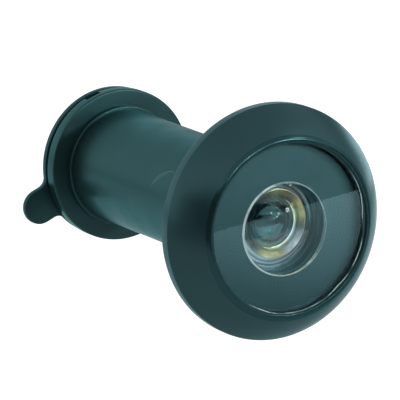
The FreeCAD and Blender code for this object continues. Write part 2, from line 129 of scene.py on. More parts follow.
class Nodes:
    """A node tree, with short ways to add nodes and to join them."""

    def __init__(self, tree: bpy.types.NodeTree, coordinates: str) -> None:
        """Take over a node tree.

        Args:
            tree: The tree.
            coordinates: The texture coordinates in which its patterns lie.
        """
        self.tree = tree
        self.place = self.node("TexCoord").outputs[coordinates]

    def node(self, kind: str, **settings: object) -> bpy.types.Node:
        """Add one node.

        Args:
            kind: The node's Blender type without its ShaderNode prefix.
            **settings: Properties to set on the node.

        Returns:
            The new node.
        """
        made = self.tree.nodes.new("ShaderNode" + kind)
        for key, value in settings.items():
            setattr(made, key, value)
        return made

    def join(self, source: object, target: Socket) -> None:
        """Feed a socket.

        Args:
            source: A socket to link, or the number, place or colour to set.
            target: The socket that takes it.
        """
        if isinstance(source, Socket):
            self.tree.links.new(source, target)
        elif target.type == "RGBA":
            target.default_value = (*source, 1.0)
        else:
            target.default_value = source

    def feed(self, node: bpy.types.Node, inputs: dict[str, object]) -> bpy.types.Node:
        """Feed several inputs of a node.

        Args:
            node: The node.
            inputs: What goes to each input, by the input's name.

        Returns:
            The node.
        """
        for name, source in inputs.items():
            self.join(source, node.inputs[name])
        return node

    def maths(self, operation: str, first: object, second: object = 0.0) -> Socket:
        """Add a Math node.

        Args:
            operation: The node's operation.
            first: A socket or a number.
            second: A socket or a number.

        Returns:
            The result.
        """
        made = self.node("Math", operation=operation)
        self.join(first, made.inputs[0])
        self.join(second, made.inputs[1])
        return made.outputs[0]

    def vector(self, operation: str, first: object, second: object = (0.0, 0.0, 0.0)) -> Socket:
        """Add a Vector Math node.

        Args:
            operation: The node's operation.
            first: A socket or a place.
            second: A socket or a place.

        Returns:
            The result: a number for a distance or a dot product, and otherwise a vector.
        """
        made = self.node("VectorMath", operation=operation)
        self.join(first, made.inputs[0])
        self.join(second, made.inputs[1])
        return made.outputs["Value" if operation in ("DISTANCE", "DOT_PRODUCT") else "Vector"]

    def noise(self, pattern: Pattern, place: Socket | None = None) -> Socket:
        """Add a noise pattern.

        Args:
            pattern: The pattern.
            place: Its coordinates, if not the tree's own.

        Returns:
            The noise's factor, over its whole range.
        """
        mapping = self.feed(self.node("Mapping"), {"Vector": place or self.place, "Scale": pattern.stretch})
        inputs = {"Vector": mapping.outputs[0], "Scale": pattern.scale, "Detail": pattern.detail}
        return self.feed(self.node("TexNoise"), inputs).outputs["Fac"]

    def spread(self, factor: Socket, low: float, high: float,
               out_low: float = 0.0, out_high: float = 1.0) -> Socket:
        """Map a factor from one range to another, with its ends held.

        Args:
            factor: The factor to map.
            low: The factor that gives out_low.
            high: The factor that gives out_high.
            out_low: The result at low.
            out_high: The result at high.

        Returns:
            The mapped factor.
        """
        made = self.node("MapRange", clamp=True)
        ranges = {"From Min": low, "From Max": high, "To Min": out_low, "To Max": out_high}
        return self.feed(made, {"Value": factor, **ranges}).outputs["Result"]

    def patches(self, pattern: Pattern, out_low: float = 0.0, out_high: float = 1.0) -> Socket:
        """Add a noise pattern whose band is spread out into patches.

        Args:
            pattern: The pattern.
            out_low: The result at the band's low end.
            out_high: The result at its high end.

        Returns:
            The pattern's factor.
        """
        return self.spread(self.noise(pattern), pattern.low, pattern.high, out_low, out_high)

    def blend(self, factor: Socket, first: object, second: object) -> Socket:
        """Mix two colours.

        Args:
            factor: 0 gives the first colour, 1 the second.
            first: A socket or a colour.
            second: A socket or a colour.

        Returns:
            The mixed colour.
        """
        made = self.node("Mix", data_type="RGBA")
        # A Mix node keeps its colours on inputs 6 and 7, and gives the mixed colour on output 2.
        for source, index in ((factor, 0), (first, 6), (second, 7)):
            self.join(source, made.inputs[index])
        return made.outputs[2]

    def facing(self, side: Place, low: float, high: float) -> Socket:
        """How far round the axis a place lies towards one side.

        Args:
            side: Direction of the side, square to the axis.
            low: Cosine of the angle to it at which the result is 0.
            high: Cosine at which it is 1.

        Returns:
            The factor.
        """
        off_axis = self.vector("NORMALIZE", self.vector("MULTIPLY", self.place, (1, 0, 1)))
        return self.spread(self.vector("DOT_PRODUCT", off_axis, side), low, high)

    def bump(self, height: Socket, strength: float, depth: float) -> Socket:
        """Add a Bump node.

        Args:
            height: The height pattern.
            strength: The bump's strength.
            depth: The pattern's depth in millimetres.

        Returns:
            The bumped normal.
        """
        inputs = {"Height": height, "Strength": strength, "Distance": depth * MM}
        return self.feed(self.node("Bump"), inputs).outputs["Normal"]

    def seen(self, direct: float, gloss: object, other: float) -> Socket:
        """A strength that differs between what is seen, what is reflected and the light it sheds.

        Args:
            direct: Strength that the camera and glass see.
            gloss: Strength that reflections see: a number or a socket.
            other: Strength for everything else.

        Returns:
            The strength.
        """
        path = self.node("LightPath")
        strength: object = other
        rays = (("Is Glossy Ray", gloss), ("Is Transmission Ray", direct), ("Is Camera Ray", direct))
        for ray, value in rays:
            mix = self.node("Mix")
            # A Mix node keeps its numbers on inputs 2 and 3.
            for source, index in ((path.outputs[ray], 0), (strength, 2), (value, 3)):
                self.join(source, mix.inputs[index])
            strength = mix.outputs[0]
        return strength


class Shader(Nodes):
    """A material under construction."""

    def __init__(self, name: str) -> None:
        """Make an empty material.

        Args:
            name: The material's name.
        """
        self.material = bpy.data.materials.new(name)
        self.material.use_nodes = True
        self.material.node_tree.nodes.clear()
        super().__init__(self.material.node_tree, "Object")

    def surface(self, inputs: dict[str, object]) -> bpy.types.Node:
        """Add a Principled node and feed its inputs."""
        return self.feed(self.node("BsdfPrincipled"), inputs)

    def finish(self, shader: bpy.types.Node) -> bpy.types.Material:
        """Send a shader to the output and return the material."""
        self.join(shader.outputs[0], self.node("OutputMaterial").inputs["Surface"])
        return self.material


@dataclass(frozen=True)
class Scratch:
    """A fine curved scratch, part of a circle's line on a surface, in millimetres.

    It fades out from the cores given here, as shares of its width and of its reach.
    """

    centre: Place
    radius: float
    middle: Place
    reach: float
    width: float
    width_core: float = 0.3
    reach_core: float = 0.7

    def mask(self, shader: Shader) -> Socket:
        """Where the scratch lies.

        Args:
            shader: The shader to add to.

        Returns:
            A factor that is 1 on the scratch.
        """
        off_centre, off_middle = (
            shader.vector("DISTANCE", shader.place, tuple(value * MM for value in point))
            for point in (self.centre, self.middle))
        off_line = shader.maths("ABSOLUTE", shader.maths("SUBTRACT", off_centre, self.radius * MM))
        line = shader.spread(off_line, self.width * MM, self.width_core * self.width * MM)
        near = shader.spread(off_middle, self.reach * MM, self.reach_core * self.reach * MM)
        return shader.maths("MULTIPLY", line, near)


def speck(place: Place, radius: float) -> Scratch:
    """A speck of dust, as a scratch of no length."""
    return Scratch(place, 0.0, place, 0.3, radius)


@dataclass(frozen=True)
class SatinPaint:
    """Satin black finish with a teal cast, a fine grain, dust and scratches."""

    name: str
    colour: Colour = (0.034, 0.088, 0.094)
    faded: Colour = (0.04, 0.098, 0.103)
    tint: Colour = (0.5, 0.84, 0.87)
    rubbed: Colour = (0.11, 0.17, 0.18)
    metallic: float = 0.75
    specular: float = 0.15
    roughness: float = 0.34
    varnish: float = 0.0
    varnish_roughness: float = 0.18
    smear_range: Span = (-0.04, 0.05)
    fading: Pattern = Pattern(90.0, 4.0)
    smears: Pattern = Pattern(300.0, 3.0)
    grain: Pattern = Pattern(2600.0, 2.0)
    dust_scale: float = 480.0
    dust_size: float = 0.055
    dust_fade: Span = (0.48, 0.2)
    dust_free: float = 0.93
    scratches: tuple[Scratch, ...] = ()

    def build(self) -> bpy.types.Material:
        """Build the paint.

        Returns:
            The material.
        """
        shader = Shader(self.name)
        colour = shader.blend(shader.patches(self.fading), self.colour, self.faded)
        marks = self.dust(shader)
        for scratch in self.scratches:
            marks = shader.maths("MAXIMUM", marks, scratch.mask(shader))
        least, most = (self.roughness + change for change in self.smear_range)
        return shader.finish(shader.surface({
            "Base Color": shader.blend(marks, colour, self.rubbed),
            "Roughness": shader.patches(self.smears, least, most),
            "Normal": shader.bump(shader.noise(self.grain), strength=0.12, depth=0.02),
            "Metallic": self.metallic,
            "Specular IOR Level": self.specular,
            "Specular Tint": self.tint,
            "Coat Weight": self.varnish,
            "Coat Roughness": self.varnish_roughness,
        }))

    def dust(self, shader: Shader) -> Socket:
        """Where the odd grain of dust lies.

        Args:
            shader: The shader to add to.

        Returns:
            A factor that is near 1 on a grain.
        """
        cells = shader.feed(shader.node("TexVoronoi"), {"Vector": shader.place, "Scale": self.dust_scale})
        outer, inner = (share * self.dust_size for share in self.dust_fade)
        near = shader.spread(cells.outputs["Distance"], outer, inner)
        pick = shader.feed(shader.node("SeparateColor"), {"Color": cells.outputs["Color"]})
        return shader.maths("MULTIPLY", near, shader.spread(pick.outputs[0], self.dust_free, 1.0))


@dataclass(frozen=True)
class ShelfPaint:
    """Satin paint of the shelf under the glass: a darker copy of the head's paint, as painted shade, and
    painted lighter towards one side as light. Its reach is in millimetres.
    """

    name: str
    # The light tone is painted light and the dark tone painted shade.
    light: Colour = (0.047, 0.108, 0.116)
    dark: Colour = (0.018, 0.052, 0.06)
    painted_light_side: Place = (0.38, 0.0, 0.92)
    reach: float = 8.5
    metallic: float = 0.6
    specular: float = 0.1
    roughness: Span = (0.36, 0.44)
    blotch_share: float = 0.06
    blotches: Pattern = Pattern(260.0, 3.0)
    smears: Pattern = Pattern(400.0, 2.0)
    grain: Pattern = Pattern(500.0, 2.0)

    def build(self) -> bpy.types.Material:
        """Build the paint.

        Returns:
            The material.
        """
        shader = Shader(self.name)
        # Paint the shelf lighter towards the lit side and darker away from it.
        along = shader.vector("DOT_PRODUCT", shader.place, self.painted_light_side)
        share = shader.spread(along, -self.reach * MM, self.reach * MM)
        blotch = shader.patches(self.blotches, -self.blotch_share, self.blotch_share)
        return shader.finish(shader.surface({
            "Base Color": shader.blend(shader.maths("ADD", share, blotch), self.dark, self.light),
            "Roughness": shader.patches(self.smears, *self.roughness),
            "Normal": shader.bump(shader.noise(self.grain), strength=0.01, depth=0.02),
            "Metallic": self.metallic,
            "Specular IOR Level": self.specular,
        }))


@dataclass(frozen=True)
class Glass:
    """Clear glass that lets lamp light through to what lies behind it.

    The tint colours what is seen through it, and the mirror colours what it reflects.
    """

    name: str
    tint: Colour = (0.93, 0.985, 0.99)
    mirror: Colour = (0.5, 0.92, 1.0)
    ior: float = 1.5

    def build(self) -> bpy.types.Material:
        """Build the glass.

        Returns:
            The material.
        """
        shader = Shader(self.name)
        glass = shader.surface({
            "Base Color": self.tint,
            "Roughness": 0.0,
            "IOR": self.ior,
            "Transmission Weight": 1.0,
            "Specular Tint": self.mirror,
        })
        clear = shader.feed(shader.node("BsdfTransparent"), {"Color": self.tint})
        shadow = shader.node("LightPath").outputs["Is Shadow Ray"]
        mix = shader.node("MixShader")
        for source, target in zip((shadow, glass.outputs[0], clear.outputs[0]), mix.inputs):
            shader.join(source, target)
        return shader.finish(mix)


@dataclass(frozen=True)
class TurnedMetal:
    """Bare turned metal with fine tool marks round the axis."""

    name: str
    bright: Colour
    dull: Colour
    roughness: float = 0.28
    mark_range: Span = (-0.06, 0.1)
    stains: Pattern = Pattern(420.0, 4.0, 0.35, 0.7)
    marks: Pattern = Pattern(5200.0, 1.0, 0.3, 0.7, (0.12, 1.0, 0.12))

    def build(self) -> bpy.types.Material:
        """Build the metal.

        Returns:
            The material.
        """
        shader = Shader(self.name)
        marks = shader.noise(self.marks)
        least, most = (self.roughness + change for change in self.mark_range)
        return shader.finish(shader.surface({
            "Base Color": shader.blend(shader.patches(self.stains), self.bright, self.dull),
            "Roughness": shader.spread(marks, self.marks.low, self.marks.high, least, most),
            "Normal": shader.bump(marks, strength=0.2, depth=0.01),
            "Metallic": 1.0,
        }))


@dataclass(frozen=True)
class CavityMetal:
    """Turned cavity: a floor with round grooves whose pale rings are partly painted reflections, and a wall
    with tool rings painted darker as shade.

    Its station, fade and sway are in millimetres.
    """

    name: str
    floor_pale: Colour = (0.36, 0.5, 0.58)
    floor_dull: Colour = (0.06, 0.16, 0.18)
    # The wall's tones are painted shade.
    wall_shade_pale: Colour = (0.04, 0.12, 0.135)
    wall_shade_dull: Colour = (0.01, 0.04, 0.046)
    metallic: float = 0.8
    roughness: float = 0.34
    floor_start: float = -1.15
    floor_fade: float = 0.2
    grooves: Pattern = Pattern(3600.0, 1.0, 0.42, 0.58)
    wall_stretch: float = 0.6
    sway: float = 0.07
    sway_pattern: Pattern = Pattern(350.0, 2.0)

    def build(self) -> bpy.types.Material:
        """Build the finish.

        Returns:
            The material.
        """
        shader = Shader(self.name)
        parts = shader.feed(shader.node("SeparateXYZ"), {"Vector": shader.place})
        wide, deep, high = (parts.outputs[axis] for axis in "XYZ")
        squares = (shader.maths("MULTIPLY", side, side) for side in (wide, high))
        off_axis = shader.maths("SQRT", shader.maths("ADD", *squares))
        sway = shader.patches(self.sway_pattern, -self.sway * MM, self.sway * MM)
        along = shader.maths("ADD", shader.maths("MULTIPLY", deep, self.wall_stretch), sway)
        section = shader.feed(shader.node("CombineXYZ"), {"X": off_axis, "Y": along})
        rings = shader.noise(self.grooves, section.outputs[0])
        bands = shader.spread(rings, self.grooves.low, self.grooves.high)
        # The floor's rings are tool marks with painted reflections in their pale bands; the wall's are darker
        # as painted shade.
        floor = shader.blend(bands, self.floor_dull, self.floor_pale)
        wall = shader.blend(bands, self.wall_shade_dull, self.wall_shade_pale)
        on_floor = shader.spread(deep, (self.floor_start - self.floor_fade) * MM, self.floor_start * MM)
        return shader.finish(shader.surface({
            "Base Color": shader.blend(on_floor, wall, floor),
            "Roughness": self.roughness,
            "Normal": shader.bump(rings, strength=0.3, depth=0.01),
            "Metallic": self.metallic,
        }))


@dataclass(frozen=True)
class MouthMetal:
    """Coned mouth of the barrel: brass, with a painted pale reflection on one side and painted shade on the
    other.
    """

    name: str
    brass: Colour = (0.64, 0.62, 0.3)
    # The pale tone is a painted reflection and the dark tone painted shade.
    pale: Colour = (0.62, 0.74, 0.8)
    dark: Colour = (0.05, 0.1, 0.1)
    reflection_side: Place = (0.77, 0.0, -0.64)
    reflection_width: Span = (0.78, 0.95)
    shade_side: Place = (-0.97, 0.0, 0.22)
    shade_width: Span = (0.2, 0.65)
    roughness: float = 0.38
    stain_range: Span = (0.55, 1.0)
    stains: Pattern = Pattern(900.0, 3.0, 0.4, 0.62, (0.5, 1.0, 0.5))
    marks: Pattern = Pattern(5200.0, 1.0, stretch=(0.12, 1.0, 0.12))

    def build(self) -> bpy.types.Material:
        """Build the finish.

        Returns:
            The material.
        """
        shader = Shader(self.name)
        colour: object = self.brass
        # Paint the reflection on one side and the shade on the other.
        for side, width, tone in ((self.reflection_side, self.reflection_width, self.pale),
                                  (self.shade_side, self.shade_width, self.dark)):
            colour = shader.blend(shader.facing(side, *width), colour, tone)
        stains = shader.patches(self.stains, *self.stain_range)
        stained = shader.node("VectorMath", operation="SCALE")
        shader.feed(stained, {"Vector": colour, "Scale": stains})
        return shader.finish(shader.surface({
            "Base Color": stained.outputs[0],
            "Roughness": self.roughness,
            "Normal": shader.bump(shader.noise(self.marks), strength=0.3, depth=0.02),
            "Metallic": 1.0,
        }))


@dataclass(frozen=True)
class Matt:
    """Dull dark finish, such as rubber or the blackened edge of a lens, with dustier patches."""

    name: str
    colour: Colour
    roughness: float = 0.6
    dustier: float = 2.2
    specular: float = 0.2
    patches: Pattern = Pattern(800.0, 3.0, 0.35, 0.75)
    grain: Pattern = Pattern(3000.0, 3.0)

    def build(self) -> bpy.types.Material:
        """Build the finish.

        Returns:
            The material.
        """
        shader = Shader(self.name)
        dusty = tuple(self.dustier * value for value in self.colour)
        return shader.finish(shader.surface({
            "Base Color": shader.blend(shader.patches(self.patches), self.colour, dusty),
            "Roughness": self.roughness,
            "Normal": shader.bump(shader.noise(self.grain), strength=0.2, depth=0.02),
            "Specular IOR Level": self.specular,
        }))


@dataclass(frozen=True)
class BurrMetal:
    """Blackened edge whose rubbed burr shows bare metal in places, painted near white as glints and kept to
    the side where the glints fall.
    """

    name: str
    dark: Colour = (0.012, 0.032, 0.036)
    # The bare tone is partly bare metal and partly a painted glint.
    bare: Colour = (0.8, 1.0, 1.0)
    side: Place = (0.72, 0.0, -0.69)
    glint_side_width: Span = (0.15, 0.35)
    bare_metallic: float = 0.15
    roughness: float = 0.35
    wear: Pattern = Pattern(210.0, 2.0, 0.44, 0.52)
    flecks: Pattern = Pattern(1900.0, 2.0, 0.36, 0.5)
    fleck_range: Span = (0.25, 1.0)
    grain: Pattern = Pattern(1500.0, 3.0)

    def build(self) -> bpy.types.Material:
        """Build the finish.

        Returns:
            The material.
        """
        shader = Shader(self.name)
        worn = shader.patches(self.wear)
        flecks = shader.patches(self.flecks, *self.fleck_range)
        # Keep the bare flecks, painted partly as glints, to the one side where the light catches them.
        side = shader.facing(self.side, *self.glint_side_width)
        bare = shader.maths("MULTIPLY", shader.maths("MULTIPLY", worn, flecks), side)
        return shader.finish(shader.surface({
            "Base Color": shader.blend(bare, self.dark, self.bare),
            "Roughness": self.roughness,
            "Normal": shader.bump(shader.noise(self.grain), strength=0.4, depth=0.03),
            "Metallic": shader.spread(bare, 0.0, 1.0, 0.0, self.bare_metallic),
        }))


@dataclass(frozen=True)
class GroundGlass:
    """Ground edge of a lens: frosted, pale, with small chips, painted darker as shade away from its lit side,
    with painted golden glints low down and a painted glow.
    """

    name: str
    pale: Colour = (0.88, 1.0, 1.0)
    deep: Colour = (0.72, 0.9, 0.92)
    # The dim grey tone below is painted shade, and the gold one painted glints.
    shaded_tone: Colour = (0.24, 0.36, 0.38)
    gold_glint: Colour = (0.75, 0.7, 0.45)
    painted_lit_side: Place = (-0.86, 0.0, -0.5)
    painted_lit_width: Span = (0.35, -0.5)
    gold_glint_side: Place = (0.1, 0.0, -0.99)
    gold_glint_width: Span = (0.6, 0.95)
    shade_band: Span = (0.2, 0.9)
    ior: float = 1.5
    roughness: float = 0.3
    # The edge glows by this much, as painted light.
    painted_glow: float = 0.22
    chips: Pattern = Pattern(1500.0, 3.0, 0.35, 0.65)
    flecks: Pattern = Pattern(1100.0, 2.0, 0.42, 0.56)
    wear: Pattern = Pattern(800.0, 3.0, 0.4, 0.6)
    wear_range: Span = (-0.25, 0.25)
    grain: Pattern = Pattern(2500.0, 2.0)

    def build(self) -> bpy.types.Material:
        """Build the finish.

        Returns:
            The material.
        """
        shader = Shader(self.name)
        colour = shader.blend(shader.patches(self.chips), self.deep, self.pale)
        # Paint golden glints low down.
        gold_glint_side = shader.facing(self.gold_glint_side, *self.gold_glint_width)
        gold_glints = shader.maths("MULTIPLY", gold_glint_side, shader.patches(self.flecks))
        colour = shader.blend(gold_glints, colour, self.gold_glint)
        worn = shader.patches(self.wear, *self.wear_range)
        # Paint shade on the side away from the light, its edge moved by random patches.
        shade_share = shader.maths("ADD", shader.facing(self.painted_lit_side, *self.painted_lit_width), worn)
        colour = shader.blend(shader.spread(shade_share, *self.shade_band), colour, self.shaded_tone)
        return shader.finish(shader.surface({
            "Base Color": colour,
            "Roughness": self.roughness,
            "Normal": shader.bump(shader.noise(self.grain), strength=0.5, depth=0.03),
            "IOR": self.ior,
            "Emission Color": colour,
            "Emission Strength": self.painted_glow,
        }))


Finish = (SatinPaint | ShelfPaint | Glass | TurnedMetal | CavityMetal | MouthMetal | Matt | BurrMetal
          | GroundGlass)


def built(finish: Finish) -> bpy.types.Material:
    """A dataclass field that holds the material of a finish, built with the class."""
    return field(init=False, default_factory=finish.build)


@dataclass
class Finishes:
    """Every finish of the door viewer, built once."""

    tube: bpy.types.Material = built(SatinPaint("paint_sleeve", scratches=(
        Scratch((-7.22, 12.16, 0.01), 4.29, (-6.11, 14.52, 3.42), 2.7, 0.1),
        Scratch((-7.22, 12.16, 0.01), 4.0, (-6.3, 14.3, 3.0), 1.6, 0.05),
        speck((-3.55, 29.23, 6.03), 0.13),
        speck((-2.44, 26.29, 6.56), 0.1),
        speck((-6.93, 38.58, 0.98), 0.11))))
    head: bpy.types.Material = built(SatinPaint(
        "paint_head", (0.033, 0.087, 0.097), (0.038, 0.096, 0.108), (0.57, 0.86, 0.92), varnish=0.13))
    # The lip's paint is a darker copy of the head's, as painted shade round the recess, and smoother.
    lip: bpy.types.Material = built(SatinPaint(
        "paint_lip", (0.026, 0.074, 0.082), (0.034, 0.086, 0.094), (0.4, 0.7, 0.73), roughness=0.2))
    cover: bpy.types.Material = built(SatinPaint("paint_cover", (0.03, 0.078, 0.084), roughness=0.4))
    shelf: bpy.types.Material = built(ShelfPaint("paint_shelf"))
    glass: bpy.types.Material = built(Glass("glass_clear"))
    seated_glass: bpy.types.Material = built(Glass("glass_seated", ior=1.0))
    bowl_glass: bpy.types.Material = built(Glass("glass_bowl", mirror=(0.88, 0.97, 1.0)))
    dome_glass: bpy.types.Material = built(Glass("glass_dome", (0.76, 0.97, 1.0), (0.38, 0.82, 0.9), 2.0))
    inner_glass: bpy.types.Material = built(Glass("glass_inner", (0.66, 0.95, 0.97), (0.5, 0.93, 1.0), 1.6))
    # Both ground edges carry painted shade, painted golden glints and a painted glow; the dome's is lit on
    # its right, lower side.
    ground: bpy.types.Material = built(GroundGlass("glass_ground"))
    dome_edge: bpy.types.Material = built(GroundGlass("glass_dome_edge", painted_lit_side=(0.86, 0.0, -0.5)))
    brass: bpy.types.Material = built(TurnedMetal("brass_turned", (0.52, 0.44, 0.2), (0.33, 0.28, 0.12)))
    mouth: bpy.types.Material = built(MouthMetal("brass_mouth"))
    steel: bpy.types.Material = built(TurnedMetal("steel_spring", (0.6, 0.61, 0.62), (0.4, 0.41, 0.42), 0.3))
    cavity: bpy.types.Material = built(CavityMetal("cavity_turned"))
    burr: bpy.types.Material = built(BurrMetal("ring_black"))
    lens_edge: bpy.types.Material = built(Matt("lens_edge_black", (0.022, 0.055, 0.065)))
    seal: bpy.types.Material = built(Matt("seal_black", (0.022, 0.058, 0.068)))
    bore: bpy.types.Material = built(Matt("bore_black", (0.03, 0.07, 0.075)))


# ---------------------------------------------------------------- meshes


def placed(name: str, data: object) -> bpy.types.Object:
    """Put an object of a mesh, a lamp or a camera in the scene.

    Args:
        name: The object's name.
        data: Its mesh, lamp or camera.

    Returns:
        The object.
    """
    made = bpy.data.objects.new(name, data)
    bpy.context.scene.collection.objects.link(made)
    return made


def mesh_of(maker: bmesh.types.BMesh, name: str) -> bpy.types.Mesh:
    """Turn a bmesh into a mesh, and free it.

    Args:
        maker: The bmesh.
        name: The mesh's name.

    Returns:
        The mesh.
    """
    mesh = bpy.data.meshes.new(name)
    maker.to_mesh(mesh)
    maker.free()
    return mesh


def new_piece(name: str, mesh: bpy.types.Mesh, body: Body, slot: Slot) -> bpy.types.Object:
    """Make an object of a mesh, and let it ride on its body.

    Args:
        name: The piece's name.
        mesh: Its mesh, in metres in the row's frame.
        body: The body that it rides on.
        slot: The record's slot of its finish. Not used.

    Returns:
        The piece.
    """
    piece = placed(name, mesh)
    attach(piece, body.value)
    return piece


def paint(mesh: bpy.types.Mesh, materials: list[bpy.types.Material],
          choose: Callable[[bpy.types.MeshPolygon], bpy.types.Material] | None = None) -> None:
    """Give a mesh its materials.

    Args:
        mesh: The mesh.
        materials: Its materials, in the order of their slots.
        choose: Picks the material of a face, if there is more than one.
    """
    mesh.materials.clear()
    for material in materials:
        mesh.materials.append(material)
    if choose:
        for face in mesh.polygons:
            face.material_index = materials.index(choose(face))


def spot(face: bpy.types.MeshPolygon) -> Corner:
    """Distance from the axis and station of a face's middle, in millimetres."""
    centre = face.center / MM
    return math.hypot(centre.x, centre.z), centre.y


def dress_node(name: str, material: bpy.types.Material) -> bpy.types.Object:
    """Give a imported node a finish.

    Args:
        name: The node's name.
        material: Its finish.

    Returns:
        The node's object.
    """
    node = frame["nodes"][name]
    for holder in node.material_slots:
        holder.material = material
    return node


def rounded(corners: Iterable[RoundedCorner], steps: int = Segments.CORNER.value) -> list[Corner]:
    """Round the corners of a closed outline.

    Args:
        corners: Radius, station and rounding of each corner, in millimetres.
        steps: Divisions of each rounding.

    Returns:
        The outline's points.
    """
    spots = list(corners)
    outline: list[Corner] = []
    for index, (radius, place, rounding) in enumerate(spots):
        here = Vector((radius, place))
        if rounding <= 0:
            outline.append((radius, place))
            continue
        before = (Vector(spots[index - 1][:2]) - here).normalized()
        after = (Vector(spots[(index + 1) % len(spots)][:2]) - here).normalized()
        half = before.angle(after) / 2
        back = rounding / math.tan(half)
        centre = here + (before + after).normalized() * rounding / math.sin(half)
        first, last = here + before * back - centre, here + after * back - centre
        turn = first.angle(last)
        for step in range(steps + 1):
            share = step / steps
            arm = (math.sin((1 - share) * turn) * first + math.sin(share * turn) * last) / math.sin(turn)
            outline.append(tuple(centre + arm))
    return outline


def dome(rim: Corner, top: float, steps: int = Segments.SPHERE.value) -> list[Corner]:
    """Points of a spherical surface from its rim to the axis.

    Args:
        rim: Radius and station of its rim, in millimetres.
        top: Station where it meets the axis.
        steps: Divisions from rim to axis.

    Returns:
        The points from the rim to the axis.
    """
    reach, place = rim
    rise = top - place
    sphere = (reach * reach + rise * rise) / (2 * abs(rise))
    centre = top - math.copysign(sphere, rise)
    wide = math.asin(min(1.0, reach / sphere))
    points = []
    for step in range(steps + 1):
        turn = wide * (1 - step / steps)
        points.append((sphere * math.sin(turn), centre + math.copysign(sphere * math.cos(turn), rise)))
    return points


def hollow(rim: Corner, top: float) -> list[Corner]:
    """Points of a spherical surface from the axis to its rim."""
    return list(reversed(dome(rim, top)))


def arc(centre: Corner, radius: float, start: float, stop: float, steps: int) -> list[Vector]:
    """Points along an arc.

    Args:
        centre: Its centre, in millimetres.
        radius: Its radius.
        start: Angle of its first point.
        stop: Angle of its last point.
        steps: Its divisions.

    Returns:
        The points, with both ends.
    """
    points = []
    for step in range(steps + 1):
        angle = start + (stop - start) * step / steps
        points.append(Vector((centre[0] + radius * math.cos(angle), centre[1] + radius * math.sin(angle))))
    return points


def turned(name: str, outline: list[Corner], segments: Segments = Segments.TURN,
           wobble: Callable[[float, float, float], Corner] | None = None,
           sharp: float = 32.0) -> bpy.types.Mesh:
    """Turn a closed outline about the Y axis.

    Args:
        name: The mesh's name.
        outline: Radius and station of each point, in millimetres. Points on the axis become poles.
        segments: Divisions of the turn.
        wobble: Changes radius and station at an angle, for threads and uneven edges.
        sharp: Edges that turn more than this many degrees stay sharp.

    Returns:
        The mesh, in metres.
    """
    count = segments.value
    maker = bmesh.new()
    rows: list[list[bmesh.types.BMVert]] = []
    for radius, place in outline:
        if radius < ON_AXIS:
            rows.append([maker.verts.new((0, place * MM, 0))])
            continue
        row = []
        for index in range(count):
            angle = 2 * math.pi * index / count
            r, y = wobble(radius, place, angle) if wobble else (radius, place)
            row.append(maker.verts.new((r * MM * math.cos(angle), y * MM, r * MM * math.sin(angle))))
        rows.append(row)
    for index, row in enumerate(rows):
        following = rows[(index + 1) % len(rows)]
        if len(row) == 1 and len(following) == 1:
            continue
        for turn in range(count):
            ahead = (turn + 1) % count
            if len(row) == 1:
                corners = (row[0], following[ahead], following[turn])
            elif len(following) == 1:
                corners = (row[turn], row[ahead], following[0])
            else:
                corners = (row[turn], row[ahead], following[ahead], following[turn])
            maker.faces.new(corners)
    bmesh.ops.recalc_face_normals(maker, faces=maker.faces)
    return smoothed(mesh_of(maker, name), sharp)


def smoothed(mesh: bpy.types.Mesh, sharp: float = 32.0) -> bpy.types.Mesh:
    """Shade a mesh smooth, with its sharp edges kept.

    Args:
        mesh: The mesh.
        sharp: Edges that turn more than this many degrees stay sharp.

    Returns:
        The same mesh.
    """
    mesh.shade_smooth()
    mesh.set_sharp_from_angle(angle=math.radians(sharp))
    return mesh


def cut(mesh: bpy.types.Mesh, tools: list[bpy.types.Mesh]) -> bpy.types.Mesh:
    """Cut other meshes out of a mesh.

    Args:
        mesh: The mesh to cut.
        tools: The meshes to take away.

    Returns:
        The cut mesh.
    """
    work = placed("cutting", mesh)
    helpers = []
    for tool in tools:
        helper = placed("cutter", tool)
        helpers.append(helper)
        modifier = work.modifiers.new("cut", "BOOLEAN")
        modifier.operation = "DIFFERENCE"
        modifier.solver = "EXACT"
        modifier.object = helper
    bpy.context.view_layer.update()
    graph = bpy.context.evaluated_depsgraph_get()
    result = bpy.data.meshes.new_from_object(work.evaluated_get(graph))
    result.name = mesh.name
    for helper in [work, *helpers]:
        bpy.data.objects.remove(helper)
    return smoothed(result)


def block(size: Place, centre: Place, turn: float) -> bpy.types.Mesh:
    """A cutter block turned about the Y axis.

    Args:
        size: Its three sizes in millimetres.
        centre: Its centre in millimetres, before the turn.
        turn: Its turn in degrees, from +X towards +Z.

    Returns:
        The mesh, in metres.
    """
    maker = bmesh.new()
    bmesh.ops.create_cube(maker, size=1.0)
    for vertex in maker.verts:
        vertex.co = Vector([(c * s + m) * MM for c, s, m in zip(vertex.co, size, centre)])
    bmesh.ops.transform(maker, matrix=Matrix.Rotation(-math.radians(turn), 4, "Y"), verts=maker.verts)
    return mesh_of(maker, "cutter_block")


def drill(name: str, radius: float, low: float, high: float, middle: Vector) -> bpy.types.Mesh:
    """A round cutter along the Y axis.

    Args:
        name: The mesh's name.
        radius: Its radius in millimetres.
        low: Station where it starts.
        high: Station where it ends.
        middle: A place on its own axis, in metres.

    Returns:
        The mesh, in metres.
    """
    outline = [(0.0, low), (radius, low), (radius, high), (0.0, high)]
    mesh = turned(name, outline, Segments.SMALL_TURN)
    mesh.transform(Matrix.Translation((middle.x, 0, middle.z)))
    return mesh


def ends_of(node: str) -> Span:
    """First and last station of a node along the axis, in millimetres."""
    low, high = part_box(node)
    return low.y / MM, high.y / MM


def radius_of(node: str) -> float:
    """Outer radius of a turned node on the axis, in millimetres."""
    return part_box(node)[1].x / MM


# ---------------------------------------------------------------- sub-assemblies


